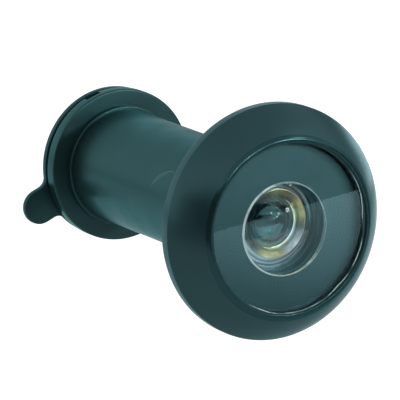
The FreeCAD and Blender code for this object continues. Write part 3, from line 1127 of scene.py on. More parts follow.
@dataclass
class OuterHousing:
    """The bevelled head and its hollow threaded stem. Sizes are in millimetres."""

    finishes: Finishes
    bevel_height: float = 4.13
    bevel_swell: float = 0.22
    bevel_steps: int = 10
    lip_width: float = 0.42
    lip_inner_round: float = 0.1
    lip_outer_round: float = 0.42
    lip_paint_depth: float = 0.3
    lip_paint_width: float = 0.7
    rim_round: float = 0.24
    recess_r: float = 10.2
    shelf_r: float = 10.02
    shelf_gap: float = 0.05
    cavity_r: float = 5.6
    cavity_paint_r: float = 5.95
    cavity_drop: float = 0.28
    cavity_floor: float = -0.9
    tool_steps: int = 5
    tool_step_depth: float = 0.08
    tool_step_ends: Span = (0.3, 0.85)
    tool_step_slope: float = 0.15
    seat_r: float = 7.2
    seat_depth: float = 0.3
    relief_r: float = 5.5
    relief_end: float = 1.0
    stem_r: float = 6.0
    stem_chamfer: float = 0.4
    stem_bore_r: float = 4.85
    thread_root_r: float = 5.45
    thread_start: float = 1.1
    thread_inset: float = 0.02
    thread_lead: float = 0.6
    thread_slope: float = 1.6
    thread_crest: float = 0.3
    pitch: float = 1.0
    shoulder: float = 5.4
    barrel_r: float = 4.55

    def build(self) -> list[bpy.types.Object]:
        """Build the housing.

        Returns:
            Its one piece.
        """
        front, end = ends_of("outer_housing")
        shelf = ends_of("objective_lens")[1] + self.shelf_gap
        seal_back = ends_of("objective_seal")[1]

        def cut_in(radius: float, place: float, angle: float) -> Corner:
            """Cut the thread into the stem, and let the cavity lie low.

            Args:
                radius: Radius of a point of the outline.
                place: Its station.
                angle: Its angle round the axis.

            Returns:
                Its radius and its station there.
            """
            if radius == self.stem_r:
                return self.thread_radius(place, angle, end), place
            if place < self.cavity_floor + TOUCH and self.barrel_r < radius < self.stem_r:
                return radius - self.cavity_drop * math.sin(angle), place
            return radius, place

        outline = self.outside(front, seal_back) + self.stem(end) + self.inside(end, shelf, seal_back)
        mesh = turned("outer_housing_turned", outline, Segments.TURN, cut_in, sharp=28.0)
        piece = new_piece("housing_turned", mesh, Body.HOUSING, Slot.BLACK_PAINT)
        self.dress(mesh, front, shelf)
        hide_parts("outer_housing")
        return [piece]

    def outside(self, front: float, seal_back: float) -> list[Corner]:
        """The outline of the head, from its recess to the stem's root.

        Args:
            front: Station of the head's front.
            seal_back: Station of the seal's back.

        Returns:
            Its points.
        """
        head_r = radius_of("outer_housing")
        lip = self.recess_r + self.lip_width
        return rounded([
            (self.recess_r, seal_back, 0),
            (self.recess_r, front, self.lip_inner_round),
            (lip, front, self.lip_outer_round),
            *self.bevel_points((lip, front), (head_r, front + self.bevel_height)),
            (head_r, front + self.bevel_height, self.rim_round),
            (head_r, 0, self.rim_round),
            (self.seat_r, 0, 0),
            (self.seat_r, -self.seat_depth, 0),
            (self.relief_r, -self.seat_depth, 0),
            (self.relief_r, self.relief_end, 0),
        ])

    def bevel_points(self, inner: Corner, outer: Corner) -> list[RoundedCorner]:
        """Points of the slightly domed bevel between the lip and the rim.

        Args:
            inner: The bevel's corner at the lip.
            outer: The bevel's corner at the rim.

        Returns:
            The points between them, each with no rounding of its own.
        """
        wide, deep = outer[0] - inner[0], outer[1] - inner[1]
        length = math.hypot(wide, deep)
        points = []
        for step in range(1, self.bevel_steps):
            share = step / self.bevel_steps
            swell = 4 * self.bevel_swell * share * (1 - share)
            points.append((inner[0] + share * wide + swell * deep / length,
                           inner[1] + share * deep - swell * wide / length, 0))
        return points

    def stem(self, end: float) -> list[Corner]:
        """The outline of the stem, close enough in steps for its thread.

        Args:
            end: Station of the stem's end.

        Returns:
            Its points.
        """
        start = self.thread_start
        steps = round((end - start) / self.pitch * Segments.THREAD.value)
        length = end - self.thread_inset - start
        return [(self.stem_r, start + length * step / steps) for step in range(steps + 1)]

    def thread_radius(self, place: float, angle: float, end: float) -> float:
        """Radius of the stem with the thread cut in.

        Args:
            place: Station along the stem.
            angle: Angle round the axis.
            end: Station of the stem's end.

        Returns:
            The radius.
        """
        phase = (place / self.pitch - angle / (2 * math.pi)) % 1.0
        flank = self.thread_slope * (1.0 - abs(2 * phase - 1)) - self.thread_crest
        groove = max(0.0, min(1.0, flank))
        lead = min(1.0, (place - self.thread_start) / self.thread_lead)
        thread = self.stem_r - (self.stem_r - self.thread_root_r) * groove * lead
        chamfer = self.stem_r - max(0.0, place - (end - self.stem_chamfer))
        root = self.relief_r + max(0.0, place - self.relief_end)
        return min(thread, chamfer, root)

    def inside(self, end: float, shelf: float, seal_back: float) -> list[Corner]:
        """The outline of the bore, the cavity with its tool steps, and the shelf.

        Args:
            end: Station of the stem's end.
            shelf: Station of the shelf.
            seal_back: Station of the seal's back.

        Returns:
            Its points.
        """
        length = (shelf - self.cavity_floor) / self.tool_steps
        first, last = self.tool_step_ends
        slope = self.tool_step_slope
        wall = [(self.cavity_r, self.cavity_floor)]
        for step in range(self.tool_steps):
            start = self.cavity_floor + step * length
            for share, cuts in ((first, False), (first + slope, True), (last, True), (last + slope, False)):
                depth = self.tool_step_depth if cuts else 0.0
                wall.append((self.cavity_r + depth, start + share * length))
        return [
            (self.stem_bore_r, end),
            (self.stem_bore_r, self.shoulder),
            (self.barrel_r, self.shoulder),
            (self.barrel_r, self.cavity_floor),
            *wall,
            (self.shelf_r, shelf),
            (self.shelf_r, seal_back),
        ]

    def dress(self, mesh: bpy.types.Mesh, front: float, shelf: float) -> None:
        """Paint the outside, and leave the cavity, the thread and the bore as they were turned; the shelf's,
        the lip's and the cavity's finishes carry painted light and shade.

        Args:
            mesh: The housing's mesh.
            front: Station of the head's front.
            shelf: Station of the shelf.
        """
        finishes = self.finishes
        lip_end = front + self.lip_paint_depth

        def finish_of(face: bpy.types.MeshPolygon) -> bpy.types.Material:
            """The finish of a face, by where it lies.

            Args:
                face: The face.

            Returns:
                Its material.
            """
            reach, place = spot(face)
            if shelf + TOUCH < place < self.cavity_floor + TOUCH and reach < self.cavity_paint_r:
                return finishes.cavity
            # The shelf's paint carries painted light and shade, and the lip's painted shade.
            if place < self.cavity_floor and reach < self.shelf_r + TOUCH:
                return finishes.shelf
            if place < lip_end and self.recess_r - SLACK < reach < self.recess_r + self.lip_paint_width:
                return finishes.lip
            if place > self.cavity_floor and reach < self.stem_bore_r + SLACK:
                return finishes.bore
            if place > TOUCH - self.seat_depth and reach < self.stem_r + SLACK:
                return finishes.brass
            return finishes.head

        paint(mesh, [finishes.head, finishes.brass, finishes.cavity, finishes.bore, finishes.shelf,
                     finishes.lip], finish_of)


@dataclass
class LensStack:
    """The objective with its seal and ring, and the brass barrel with its two lenses, in millimetres."""

    finishes: Finishes
    chamfer: float = 0.12
    edge_wear: float = 0.62
    edge_wear_side: float = -1.05
    edge_black: float = 0.03
    bowl_rim_r: float = 5.6
    bowl_r: float = 5.42
    bowl_bevel: float = 0.3
    bowl_depth: float = 0.95
    bowl_drop: float = 0.28
    ring_inner_r: float = 10.02
    ring_outer_r: float = 10.2
    ring_least_width: float = 0.02
    ring_flat: float = 0.95
    ring_upright: float = 0.05
    # Height, count round the ring and start of each wave of its inner edge.
    ring_waves: tuple[tuple[float, int, float], ...] = ((0.012, 17, 0.0), (0.01, 41, 2.0), (0.008, 67, 0.0))
    # Angle, half width and depth of each dip of its inner edge.
    ring_dips: tuple[tuple[float, float, float], ...] = (
        (0.03, 0.2, -0.3), (-0.88, 0.13, -0.12), (-2.05, 0.2, -0.1), (1.9, 0.3, -0.04))
    burr_width: float = 0.06
    seal_inner_r: float = 9.74
    seal_round: float = 0.08
    seal_round_steps: int = 3
    seal_shift: float = 0.05
    seal_side: float = 0.2
    seal_ripples: int = 5
    seal_ripple: float = 0.02
    barrel_r: float = 4.55
    barrel_bore_r: float = 3.9
    barrel_lip_r: float = 3.55
    barrel_lip_length: float = 1.3
    shoulder: float = 5.4
    mouth_rim: float = 0.15
    mouth_inner_round: float = 0.04
    mouth_outer_round: float = 0.06
    throat_r: float = 3.8
    throat_depth: float = 0.6
    throat_round: float = 0.1
    dome_r: float = 3.5
    # Side of the dome's ground arc, kept where it is lit as a painted highlight.
    dome_edge_lit_side: float = -0.5
    dome_edge_start: float = 0.1
    dome_edge_width: float = 0.16
    second_edge: float = 1.2
    hollow_r: float = 2.5
    hollow_depth: float = 1.2
    third_hollow_r: float = 2.8
    third_hollow_depth: float = 0.8

    def build(self) -> list[bpy.types.Object]:
        """Build the stack, and dress the rings whose solids are right as they are.

        Returns:
            Its pieces.
        """
        return [
            self.objective(),
            self.ring(),
            self.seal(),
            self.barrel(),
            self.second_lens(),
            self.third_lens(),
            dress_node("lens_spacer", self.finishes.bore),
            dress_node("barrel_ring", self.finishes.bore),
        ]

    def objective(self) -> bpy.types.Object:
        """Build the flat outdoor glass with the bowl in its back.

        Returns:
            The lens.
        """
        front, back = ends_of("objective_lens")
        reach = radius_of("objective_lens")
        bowl_edge = back - self.bowl_bevel
        outline = [
            (0.0, front),
            (reach - self.chamfer, front),
            (reach, front + self.chamfer),
            (reach, back),
            (self.bowl_rim_r, back),
            *dome((self.bowl_r, bowl_edge), bowl_edge - self.bowl_depth),
        ]

        def worn(radius: float, place: float, angle: float) -> Corner:
            """Let the chamfer grow wider towards one side.

            Args:
                radius: Radius of a point of the outline.
                place: Its station.
                angle: Its angle round the axis.

            Returns:
                Its radius and its station there.
            """
            if place > front or radius < self.bowl_rim_r:
                return radius, place
            return radius - self.edge_wear * max(0.0, math.cos(angle - self.edge_wear_side)), place

        finishes = self.finishes

        def finish_of(face: bpy.types.MeshPolygon) -> bpy.types.Material:
            """The finish of a face, by where it lies.

            Args:
                face: The face.

            Returns:
                Its material.
            """
            distance, place = spot(face)
            if distance > reach - self.edge_black and place > front + self.chamfer:
                return finishes.lens_edge
            if place > back - TOUCH:
                return finishes.seated_glass
            if self.bowl_r < distance < self.bowl_rim_r and place > bowl_edge:
                return finishes.ground
            if distance < self.bowl_r and place > front + self.chamfer:
                return finishes.bowl_glass
            return finishes.glass

        mesh = turned("objective_glass", outline, Segments.TURN, worn, sharp=8.0)
        piece = new_piece("objective_glass", mesh, Body.HOUSING, Slot.GLASS)
        paint(mesh, [finishes.glass, finishes.lens_edge, finishes.ground, finishes.seated_glass,
                     finishes.bowl_glass], finish_of)
        for vertex in mesh.vertices:
            distance = math.hypot(vertex.co.x, vertex.co.z)
            if vertex.co.y > (front + self.chamfer) * MM and distance < (self.bowl_rim_r + SLACK) * MM:
                vertex.co.z -= self.bowl_drop * MM
        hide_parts("objective_lens")
        return piece

    def ring(self) -> bpy.types.Object:
        """Build the thin ring in front of the glass, with an uneven bare edge.

        Returns:
            The ring.
        """
        front, back = ends_of("objective_ring")
        inner, outer = self.ring_inner_r, self.ring_outer_r
        outline = [
            (inner + self.burr_width, front),
            (outer, front),
            (outer, back),
            (inner, back),
            (inner, front + self.burr_width),
        ]

        def uneven(radius: float, place: float, angle: float) -> Corner:
            """Let the inner edge wander a little.

            Args:
                radius: Radius of a point of the outline.
                place: Its station.
                angle: Its angle round the axis.

            Returns:
                Its radius and its station there.
            """
            if radius == outer:
                return radius, place
            dip = sum(depth * math.exp(-((math.remainder(angle - middle, 2 * math.pi)) / wide) ** 2)
                      for middle, wide, depth in self.ring_dips)
            fine = sum(height * math.sin(count * angle + start) for height, count, start in self.ring_waves)
            return min(radius + dip + fine, outer - self.ring_least_width), place

        finishes = self.finishes

        def finish_of(face: bpy.types.MeshPolygon) -> bpy.types.Material:
            """The finish of a face: black where it lies flat or stands upright, bare on the burr.

            Args:
                face: The face.

            Returns:
                Its material.
            """
            lean = abs(face.normal.y)
            if lean > self.ring_flat:
                return finishes.head
            # The burr's bare flecks are partly painted glints.
            return finishes.burr if lean > self.ring_upright else finishes.seal

        mesh = turned("objective_ring_uneven", outline, Segments.TURN, uneven)
        piece = new_piece("objective_ring_turned", mesh, Body.HOUSING, Slot.BLACK_RING)
        paint(mesh, [finishes.head, finishes.burr, finishes.seal], finish_of)
        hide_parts("objective_ring")
        return piece

    def seal(self) -> bpy.types.Object:
        """Build the seal behind the glass, squeezed a little to one side.

        Returns:
            The seal.
        """
        front, back = ends_of("objective_seal")
        inner, outer = self.seal_inner_r, radius_of("objective_seal")
        corners = ((inner, front), (outer, front), (outer, back), (inner, back))
        outline = rounded([(*corner, self.seal_round) for corner in corners], self.seal_round_steps)

        def squeezed(radius: float, place: float, angle: float) -> Corner:
            """Shift the seal's inner side a little, with ripples.

            Args:
                radius: Radius of a point of the outline.
                place: Its station.
                angle: Its angle round the axis.

            Returns:
                Its radius and its station there.
            """
            if radius > (inner + outer) / 2:
                return radius, place
            shift = self.seal_shift * math.cos(angle - self.seal_side)
            return radius + shift + self.seal_ripple * math.sin(self.seal_ripples * angle), place

        mesh = turned("objective_seal_squeezed", outline, Segments.TURN, squeezed)
        piece = new_piece("seal_squeezed", mesh, Body.HOUSING, Slot.BLACK_SEAL)
        paint(mesh, [self.finishes.seal])
        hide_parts("objective_seal")
        return piece

    def barrel(self) -> bpy.types.Object:
        """Build the brass barrel with its coned mouth.

        Returns:
            The barrel.
        """
        front, end = ends_of("lens_barrel")
        outer = radius_of("lens_barrel")
        lip_end = front + self.barrel_lip_length
        outline = rounded([
            (self.barrel_r - self.mouth_rim, front, self.mouth_inner_round),
            (self.barrel_r, front, self.mouth_outer_round),
            (self.barrel_r, self.shoulder, 0),
            (outer, self.shoulder, 0),
            (outer, end, 0),
            (self.barrel_bore_r, end, 0),
            (self.barrel_bore_r, lip_end, 0),
            (self.barrel_lip_r, lip_end, 0),
            (self.throat_r, front + self.throat_depth, self.throat_round),
        ])
        finishes = self.finishes

        def finish_of(face: bpy.types.MeshPolygon) -> bpy.types.Material:
            """The finish of a face, by where it lies.

            Args:
                face: The face.

            Returns:
                Its material.
            """
            distance, place = spot(face)
            if distance < self.barrel_bore_r + SLACK and place > lip_end - TOUCH:
                return finishes.bore
            # The mouth's finish carries a painted reflection and painted shade.
            return finishes.mouth if place < lip_end else finishes.brass

        mesh = turned("lens_barrel_turned", outline, Segments.SMALL_TURN)
        piece = new_piece("lens_barrel_turned", mesh, Body.HOUSING, Slot.BRASS)
        paint(mesh, [finishes.brass, finishes.bore, finishes.mouth], finish_of)
        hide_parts("lens_barrel")
        return piece

    def second_lens(self) -> bpy.types.Object:
        """Build the domed lens in the barrel's mouth, with a ground arc only on its lit side, as a painted
        highlight.

        Returns:
            The lens.
        """
        front, back = ends_of("second_lens")
        reach = radius_of("second_lens")
        shoulder = back - self.second_edge
        outline = [
            (reach, shoulder),
            *dome((self.dome_r, shoulder), front),
            *hollow((self.hollow_r, back), back - self.hollow_depth),
            (reach, back),
        ]
        finishes = self.finishes

        def finish_of(face: bpy.types.MeshPolygon) -> bpy.types.Material:
            """The finish of a face, by where it lies.

            Args:
                face: The face.

            Returns:
                Its material.
            """
            distance, place = spot(face)
            # The ground arc is kept to the lit side, as a painted highlight.
            side = math.cos(math.atan2(face.center.z, face.center.x) - self.dome_edge_lit_side)
            edge_r = self.dome_r - 2 * TOUCH - self.dome_edge_width * max(0.0, side)
            if distance > edge_r and place < shoulder + TOUCH and side > self.dome_edge_start:
                return finishes.dome_edge
            domed = place < shoulder and distance < self.dome_r
            return finishes.dome_glass if domed else finishes.inner_glass

        piece = self.small_lens("second_lens", outline)
        paint(piece.data, [finishes.inner_glass, finishes.dome_edge, finishes.dome_glass], finish_of)
        return piece

    def third_lens(self) -> bpy.types.Object:
        """Build the flat lens with a hollow back.

        Returns:
            The lens.
        """
        front, back = ends_of("third_lens")
        reach = radius_of("third_lens")
        return self.small_lens("third_lens", [
            (reach, front),
            (0.0, front),
            *hollow((self.third_hollow_r, back), back - self.third_hollow_depth),
            (reach, back),
        ])

    def small_lens(self, node: str, outline: list[Corner]) -> bpy.types.Object:
        """Turn and dress a lens that replaces a node.

        Args:
            node: The node that it replaces.
            outline: The lens's outline.

        Returns:
            The lens.
        """
        mesh = turned(node + "_glass", outline, Segments.SMALL_TURN, sharp=20.0)
        piece = new_piece(node + "_glass", mesh, Body.HOUSING, Slot.GLASS)
        paint(mesh, [self.finishes.inner_glass])
        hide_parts(node)
        return piece


@dataclass
class InnerSleeve:
    """The tube with its collar, slotted flange and eye cup, and the eye lens in it, in millimetres."""

    finishes: Finishes
    bore_r: float = 6.05
    tube_r: float = 7.0
    tube_round: float = 0.25
    collar_r: float = 7.4
    collar_height: float = 0.8
    collar_round: float = 0.12
    door_face: float = 36.4
    flange_round: float = 0.22
    pocket_r: float = 5.55
    pocket_depth: float = 4.0
    web: float = 1.55
    hole_r: float = 4.1
    cup_r: float = 5.0
    cup_round: float = 0.1
    slot_length: float = 40.0
    slot_width: float = 2.0
    slot_depth: float = 0.9
    slot_angle: float = 111.0
    rivet_hole_r: float = 0.85
    rivet_hole_depth: float = 1.2
    brass_depth: float = 0.3
    lens_hole_r: float = 4.1
    lens_bulge: float = 0.53

    def build(self) -> list[bpy.types.Object]:
        """Build the sleeve and its lens.

        Returns:
            The pieces.
        """
        return [
            self.tube(),
            self.eye_lens(),
            dress_node("eye_ring", self.finishes.brass),
        ]

    def tube(self) -> bpy.types.Object:
        """Build the tube and flange, with the coin slot and the rivet's hole cut in.

        Returns:
            The sleeve.
        """
        front, back = ends_of("inner_sleeve")
        flange_r = radius_of("inner_sleeve")
        seat = back - self.web
        pocket = seat - self.pocket_depth
        outline = rounded([
            (self.bore_r, front, 0),
            (self.tube_r, front, self.tube_round),
            (self.tube_r, self.door_face - self.collar_height, 0),
            (self.collar_r, self.door_face - self.collar_height, self.collar_round),
            (self.collar_r, self.door_face, 0),
            (flange_r, self.door_face, self.flange_round),
            (flange_r, back, self.flange_round),
            (self.cup_r, back, self.cup_round),
            (self.hole_r, seat, 0),
            (self.pocket_r, seat, 0),
            (self.pocket_r, pocket, 0),
            (self.bore_r, pocket, 0),
        ])
        mesh = turned("inner_sleeve_turned", outline, Segments.TURN)
        slot_size = (self.slot_length, 2 * self.slot_depth, self.slot_width)
        slot = block(slot_size, (0.0, back, 0.0), self.slot_angle)
        rivet_low, rivet_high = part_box("cover_rivet")
        shank = drill("cutter_shank", self.rivet_hole_r, back - self.rivet_hole_depth, back + OVERCUT,
                      (rivet_low + rivet_high) / 2)
        mesh = cut(mesh, [slot, shank])
        finishes = self.finishes

        def finish_of(face: bpy.types.MeshPolygon) -> bpy.types.Material:
            """The finish of a face: bare brass inside, and paint outside.

            Args:
                face: The face.

            Returns:
                Its material.
            """
            distance, place = spot(face)
            bare = distance < self.tube_r - self.brass_depth and place < seat + TOUCH
            return finishes.brass if bare else finishes.tube

        piece = new_piece("sleeve_turned", mesh, Body.SLEEVE, Slot.BLACK_PAINT)
        paint(mesh, [finishes.tube, finishes.brass], finish_of)
        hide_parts("inner_sleeve")
        return piece

    def eye_lens(self) -> bpy.types.Object:
        """Build the lens that the eye looks through.

        Returns:
            The lens.
        """
        front, back = ends_of("eye_lens")
        reach = radius_of("eye_lens")
        mesh = turned("eye_lens_glass", [
            (reach, front + self.lens_bulge),
            *dome((self.lens_hole_r, front + self.lens_bulge), front),
            *hollow((self.lens_hole_r, back - self.lens_bulge), back),
            (reach, back - self.lens_bulge),
        ], Segments.SMALL_TURN, sharp=20.0)
        piece = new_piece("eye_lens_glass", mesh, Body.EYE_LENS, Slot.GLASS)
        paint(mesh, [self.finishes.glass])
        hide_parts("eye_lens")
        return piece


@dataclass
class PrivacyCover:
    """The cover disc with its finger tab, its rivet and its spring washer, in millimetres."""

    finishes: Finishes
    disc_r: float = 9.3
    tab_reach: float = 11.0
    tab_half_width: float = 2.15
    root_round: float = 1.2
    edge_round: float = 0.14
    edge_steps: int = 3
    hole_r: float = 0.9
    tab_steps: int = 12
    root_steps: int = 8
    half_disc_steps: int = 72

    def build(self) -> list[bpy.types.Object]:
        """Build the cover and dress its rivet and washer.

        Returns:
            The pieces.
        """
        return [
            self.disc(),
            dress_node("cover_rivet", self.finishes.cover),
            dress_node("cover_washer", self.finishes.steel),
        ]

    def outline(self) -> list[Vector]:
        """Points of the disc with its tab along +X.

        Returns:
            The points in order.
        """
        root_z = self.tab_half_width + self.root_round
        root_x = math.sqrt((self.disc_r + self.root_round) ** 2 - root_z ** 2)
        touch = math.atan2(root_z, root_x)
        points = arc((self.tab_reach, 0.0), self.tab_half_width, 0.0, math.pi / 2, self.tab_steps)
        points += arc((root_x, root_z), self.root_round, -math.pi / 2, touch - math.pi, self.root_steps)
        points += arc((0.0, 0.0), self.disc_r, touch, math.pi, self.half_disc_steps)[1:]
        mirrored = [Vector((p.x, -p.y)) for p in reversed(points[1:-1])]
        return points + mirrored

    def disc(self) -> bpy.types.Object:
        """Build the cover sheet.

        Returns:
            The cover.
        """
        front, back = ends_of("privacy_cover")
        swing = next(joint for joint in frame["joints"] if joint["child"] == Body.COVER.value)
        pivot = Vector(swing["pos_m"])
        turn = math.atan2(-pivot.z, -pivot.x)
        maker = bmesh.new()
        ring = [maker.verts.new((p.x * MM, front * MM, p.y * MM)) for p in self.outline()]
        face = maker.faces.new(ring)
        lifted = bmesh.ops.extrude_face_region(maker, geom=[face])
        raised = [item for item in lifted["geom"] if isinstance(item, bmesh.types.BMVert)]
        bmesh.ops.translate(maker, verts=raised, vec=(0, (back - front) * MM, 0))
        bmesh.ops.recalc_face_normals(maker, faces=maker.faces)
        rims = [edge for edge in maker.edges
                if abs(edge.verts[0].co.y - edge.verts[1].co.y) < self.edge_round * MM]
        bmesh.ops.bevel(maker, geom=rims, offset=self.edge_round * MM, segments=self.edge_steps,
                        profile=0.5, affect="EDGES", clamp_overlap=True)
        bmesh.ops.transform(maker, matrix=Matrix.Rotation(-turn, 4, "Y"), verts=maker.verts)
        hole = drill("cutter_pivot", self.hole_r, front - OVERCUT, back + OVERCUT, pivot)
        mesh = cut(mesh_of(maker, "privacy_cover_sheet"), [hole])
        piece = new_piece("privacy_cover_sheet", mesh, Body.COVER, Slot.COVER_PAINT)
        paint(mesh, [self.finishes.cover])
        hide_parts("privacy_cover")
        return piece


# ---------------------------------------------------------------- studio


@dataclass(frozen=True)
class Softbox:
    """A soft lamp that looks at the viewer's head. Its places and sizes are in metres."""

    name: str
    place: Place
    size: Span
    power: float
    target: Place = (0.0, 0.01, 0.0)

    def build(self) -> bpy.types.Object:
        """Build the lamp.

        Returns:
            The lamp.
        """
        lamp = bpy.data.lights.new(self.name, "AREA")
        lamp.shape = "RECTANGLE"
        lamp.size, lamp.size_y = self.size
        lamp.energy = self.power
        holder = placed(self.name, lamp)
        holder.location = self.place
        holder.rotation_euler = (Vector(self.target) - Vector(self.place)).to_track_quat("-Z", "Y").to_euler()
        return holder


@dataclass(frozen=True)
class Camera:
    """The camera in front, to the left and a little above."""

    place: Place = (-0.28688, -0.50802, 0.12691)
    azimuth: float = -28.685
    elevation: float = 12.05
    focal_length: float = 460.9
    sensor_width: float = 36.0
    clip: Span = (0.01, 50.0)

    def build(self) -> bpy.types.Object:
        """Build the camera and look through it.

        Returns:
            The camera.
        """
        lens = bpy.data.cameras.new("camera")
        lens.lens = self.focal_length
        lens.sensor_width = self.sensor_width
        lens.clip_start, lens.clip_end = self.clip
        camera = placed("camera", lens)
        camera.location = self.place
        azimuth, elevation = math.radians(self.azimuth), math.radians(self.elevation)
        level = math.cos(elevation)
        look = Vector((-math.sin(azimuth) * level, math.cos(azimuth) * level, -math.sin(elevation)))
        camera.rotation_euler = look.to_track_quat("-Z", "Y").to_euler()
        bpy.context.scene.camera = camera
        return camera


@dataclass(frozen=True)
class DarkCurtain:
    """Black cloth at the viewer's front and right, seen only in gloss and through glass.

    It lies on the floor from its near edge to its far edge, and stands up there. Sizes are in metres.
    """

    near: tuple[Corner, ...] = ((-1.5, 0.395), (0.335, -0.473), (0.37, 0.0), (1.5, 0.1))
    far: tuple[Corner, ...] = ((-1.7, -0.3), (0.5, -1.7), (1.6, -1.4), (1.7, -0.2))
    height: float = 0.7
    lift: float = 0.001
    black: Colour = (0.004, 0.004, 0.004)

    def build(self, floor_level: float) -> bpy.types.Object:
        """Build the cloth.

        Args:
            floor_level: Height of the floor.

        Returns:
            The cloth.
        """
        low = floor_level + self.lift
        rows = ((self.near, low), (self.far, low), (self.far, low + self.height))
        maker = bmesh.new()
        grid = [[maker.verts.new((x, y, level)) for x, y in row] for row, level in rows]
        for lower, upper in zip(grid, grid[1:]):
            for index in range(len(lower) - 1):
                maker.faces.new((lower[index], lower[index + 1], upper[index + 1], upper[index]))
        mesh = mesh_of(maker, "dark_curtain")
        curtain = placed("dark_curtain", mesh)
        paint(mesh, [Matt("curtain_black", self.black, 1.0).build()])
        curtain.visible_camera = False
        curtain.visible_diffuse = False
        curtain.visible_shadow = False
        return curtain


@dataclass(frozen=True)
class LitPatch:
    """A round patch of light on the floor, seen only in reflections and brightest in its middle.

    Its middle and its reach are in metres.
    """

    middle: Corner
    gloss: float
    reach: float

    def build(self, shader: Shader) -> Socket:
        """How much brighter the patch makes the floor.

        Args:
            shader: The floor's shader.

        Returns:
            The strength.
        """
        off_middle = shader.vector("DISTANCE", shader.place, (*self.middle, 0.0))
        return shader.spread(off_middle, self.reach, 0.0, 0.0, self.gloss)


@dataclass(frozen=True)
class Floor:
    """The pale floor well below the viewer, painted darker away from its middle as shade, which gloss sees
    dark in front and paler behind.

    Sizes are in metres, and gloss is what reflections see.
    """

    half_width: float = 4.0
    middle: Corner = (-0.25, 0.35)
    near_colour: Colour = (0.8, 0.8, 0.8)
    far_shade_colour: Colour = (0.5, 0.5, 0.5)
    shade_fade: Span = (0.5, 0.8)
    glow: float = 0.7
    front_gloss: float = 0.0
    back_gloss: float = 0.55
    back_start: Span = (0.05, 0.2)
    back_fade: Span = (0.6, 0.9)
    back_far_share: float = 0.1
    patches: tuple[LitPatch, ...] = (
        LitPatch((0.29, -0.44), 1.9, 0.115),
        LitPatch((0.3, 0.46), 0.9, 0.22))

    def build(self, level: float) -> bpy.types.Object:
        """Build the floor.

        Args:
            level: Its height.

        Returns:
            The floor.
        """
        maker = bmesh.new()
        bmesh.ops.create_grid(maker, x_segments=1, y_segments=1, size=self.half_width)
        mesh = mesh_of(maker, "floor")
        floor = placed("floor", mesh)
        floor.location.z = level
        paint(mesh, [self.finish()])
        return floor

    def finish(self) -> bpy.types.Material:
        """Build the floor's finish: matt, with a glow that sheds no light of its own.

        Returns:
            The material.
        """
        shader = Shader("floor_white")
        off_middle = shader.vector("DISTANCE", shader.place, (*self.middle, 0.0))
        # Paint the floor darker away from its middle, as painted shade.
        worn = shader.spread(off_middle, *self.shade_fade)
        colour = shader.blend(worn, self.near_colour, self.far_shade_colour)
        matt = shader.feed(shader.node("BsdfDiffuse"), {"Color": colour})
        parts = shader.feed(shader.node("SeparateXYZ"), {"Vector": shader.place})
        behind = shader.spread(parts.outputs["Y"], *self.back_start, self.front_gloss, self.back_gloss)
        far = shader.spread(off_middle, *self.back_fade, 1.0, self.back_far_share)
        gloss = shader.maths("MULTIPLY", behind, far)
        for patch in self.patches:
            gloss = shader.maths("ADD", gloss, patch.build(shader))
        glow = shader.feed(shader.node("Emission"), {"Strength": shader.seen(self.glow, gloss, 0.0)})
        both = shader.node("AddShader")
        for part, target in zip((matt, glow), both.inputs):
            shader.join(part.outputs[0], target)
        return shader.finish(both)


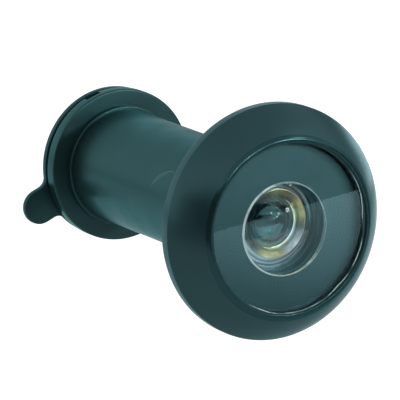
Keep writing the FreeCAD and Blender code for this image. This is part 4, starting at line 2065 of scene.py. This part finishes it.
@dataclass(frozen=True)
class Surroundings:
    """Plain white surroundings, which gloss sees darker overhead and in one corner.

    The dark corner's strength is what gloss sees in it, so a lower value is darker.
    """

    ambient: float = 0.48
    overhead: float = 0.5
    overhead_rise: Span = (0.3, 0.9)
    dark_corner: Place = (0.86, 0.49, 0.1)
    dark_corner_width: Span = (0.8, 0.95)
    dark_corner_strength: float = 0.2

    def build(self) -> bpy.types.World:
        """Build the world.

        Returns:
            The world.
        """
        world = bpy.data.worlds.new("surroundings")
        bpy.context.scene.world = world
        world.use_nodes = True
        nodes = Nodes(world.node_tree, "Generated")
        parts = nodes.feed(nodes.node("SeparateXYZ"), {"Vector": nodes.place})
        fade = nodes.spread(parts.outputs["Z"], *self.overhead_rise, 1.0, self.overhead)
        along = nodes.vector("DOT_PRODUCT", nodes.place, self.dark_corner)
        shade = nodes.spread(along, *self.dark_corner_width, 1.0, self.dark_corner_strength)
        strength = nodes.seen(1.0, nodes.maths("MULTIPLY", fade, shade), self.ambient)
        background = world.node_tree.nodes["Background"]
        nodes.feed(background, {"Color": (1.0, 1.0, 1.0), "Strength": strength})
        return world


@dataclass
class Studio:
    """The floor, the surroundings, a dark cloth, soft lamps and the camera."""

    floor_drop: float = 0.09

    def build(self) -> None:
        """Build the studio round the viewer."""
        level = CAD_BOX[0][2] - self.floor_drop
        Surroundings().build()
        Floor().build(level)
        DarkCurtain().build(level)
        for lamp in self.lamps():
            lamp.build()
        Camera().build()

    def lamps(self) -> list[Softbox]:
        """The soft lamps.

        Returns:
            The lamps.
        """
        return [
            Softbox("lamp_key", self.around(60.0, 12.4, 0.9), (0.09, 0.09), 1.6),
            Softbox("lamp_second", self.around(74.5, 9.9, 0.9), (0.045, 0.045), 0.6),
            Softbox("lamp_third", self.around(84.8, 11.1, 0.9), (0.04, 0.04), 0.5),
            Softbox("lamp_top", self.around(35.0, 45.0, 0.85), (0.08, 0.08), 0.5),
            Softbox("lamp_back_right", (0.62, 0.5, 0.04), (0.4, 0.25), 0.6),
        ]

    def around(self, azimuth: float, elevation: float, distance: float) -> Place:
        """A place at a distance from the viewer's head.

        Args:
            azimuth: Angle in degrees from +X towards -Y.
            elevation: Angle in degrees above the horizon.
            distance: Distance in metres.

        Returns:
            The place.
        """
        turn, rise = math.radians(azimuth), math.radians(elevation)
        flat = distance * math.cos(rise)
        return flat * math.cos(turn), -flat * math.sin(turn), distance * math.sin(rise)


def main() -> None:
    """Build the studio and the door viewer, and report each piece."""
    logging.basicConfig(level=logging.INFO, format="%(name)s %(message)s")
    bpy.context.scene.view_settings.view_transform = "Standard"
    Studio().build()
    finishes = Finishes()
    for assembly in (OuterHousing, LensStack, InnerSleeve, PrivacyCover):
        for piece in assembly(finishes).build():
            LOG.info("%s: %d finishes", piece.name, len(piece.material_slots))


if __name__ == "__main__":
    main()
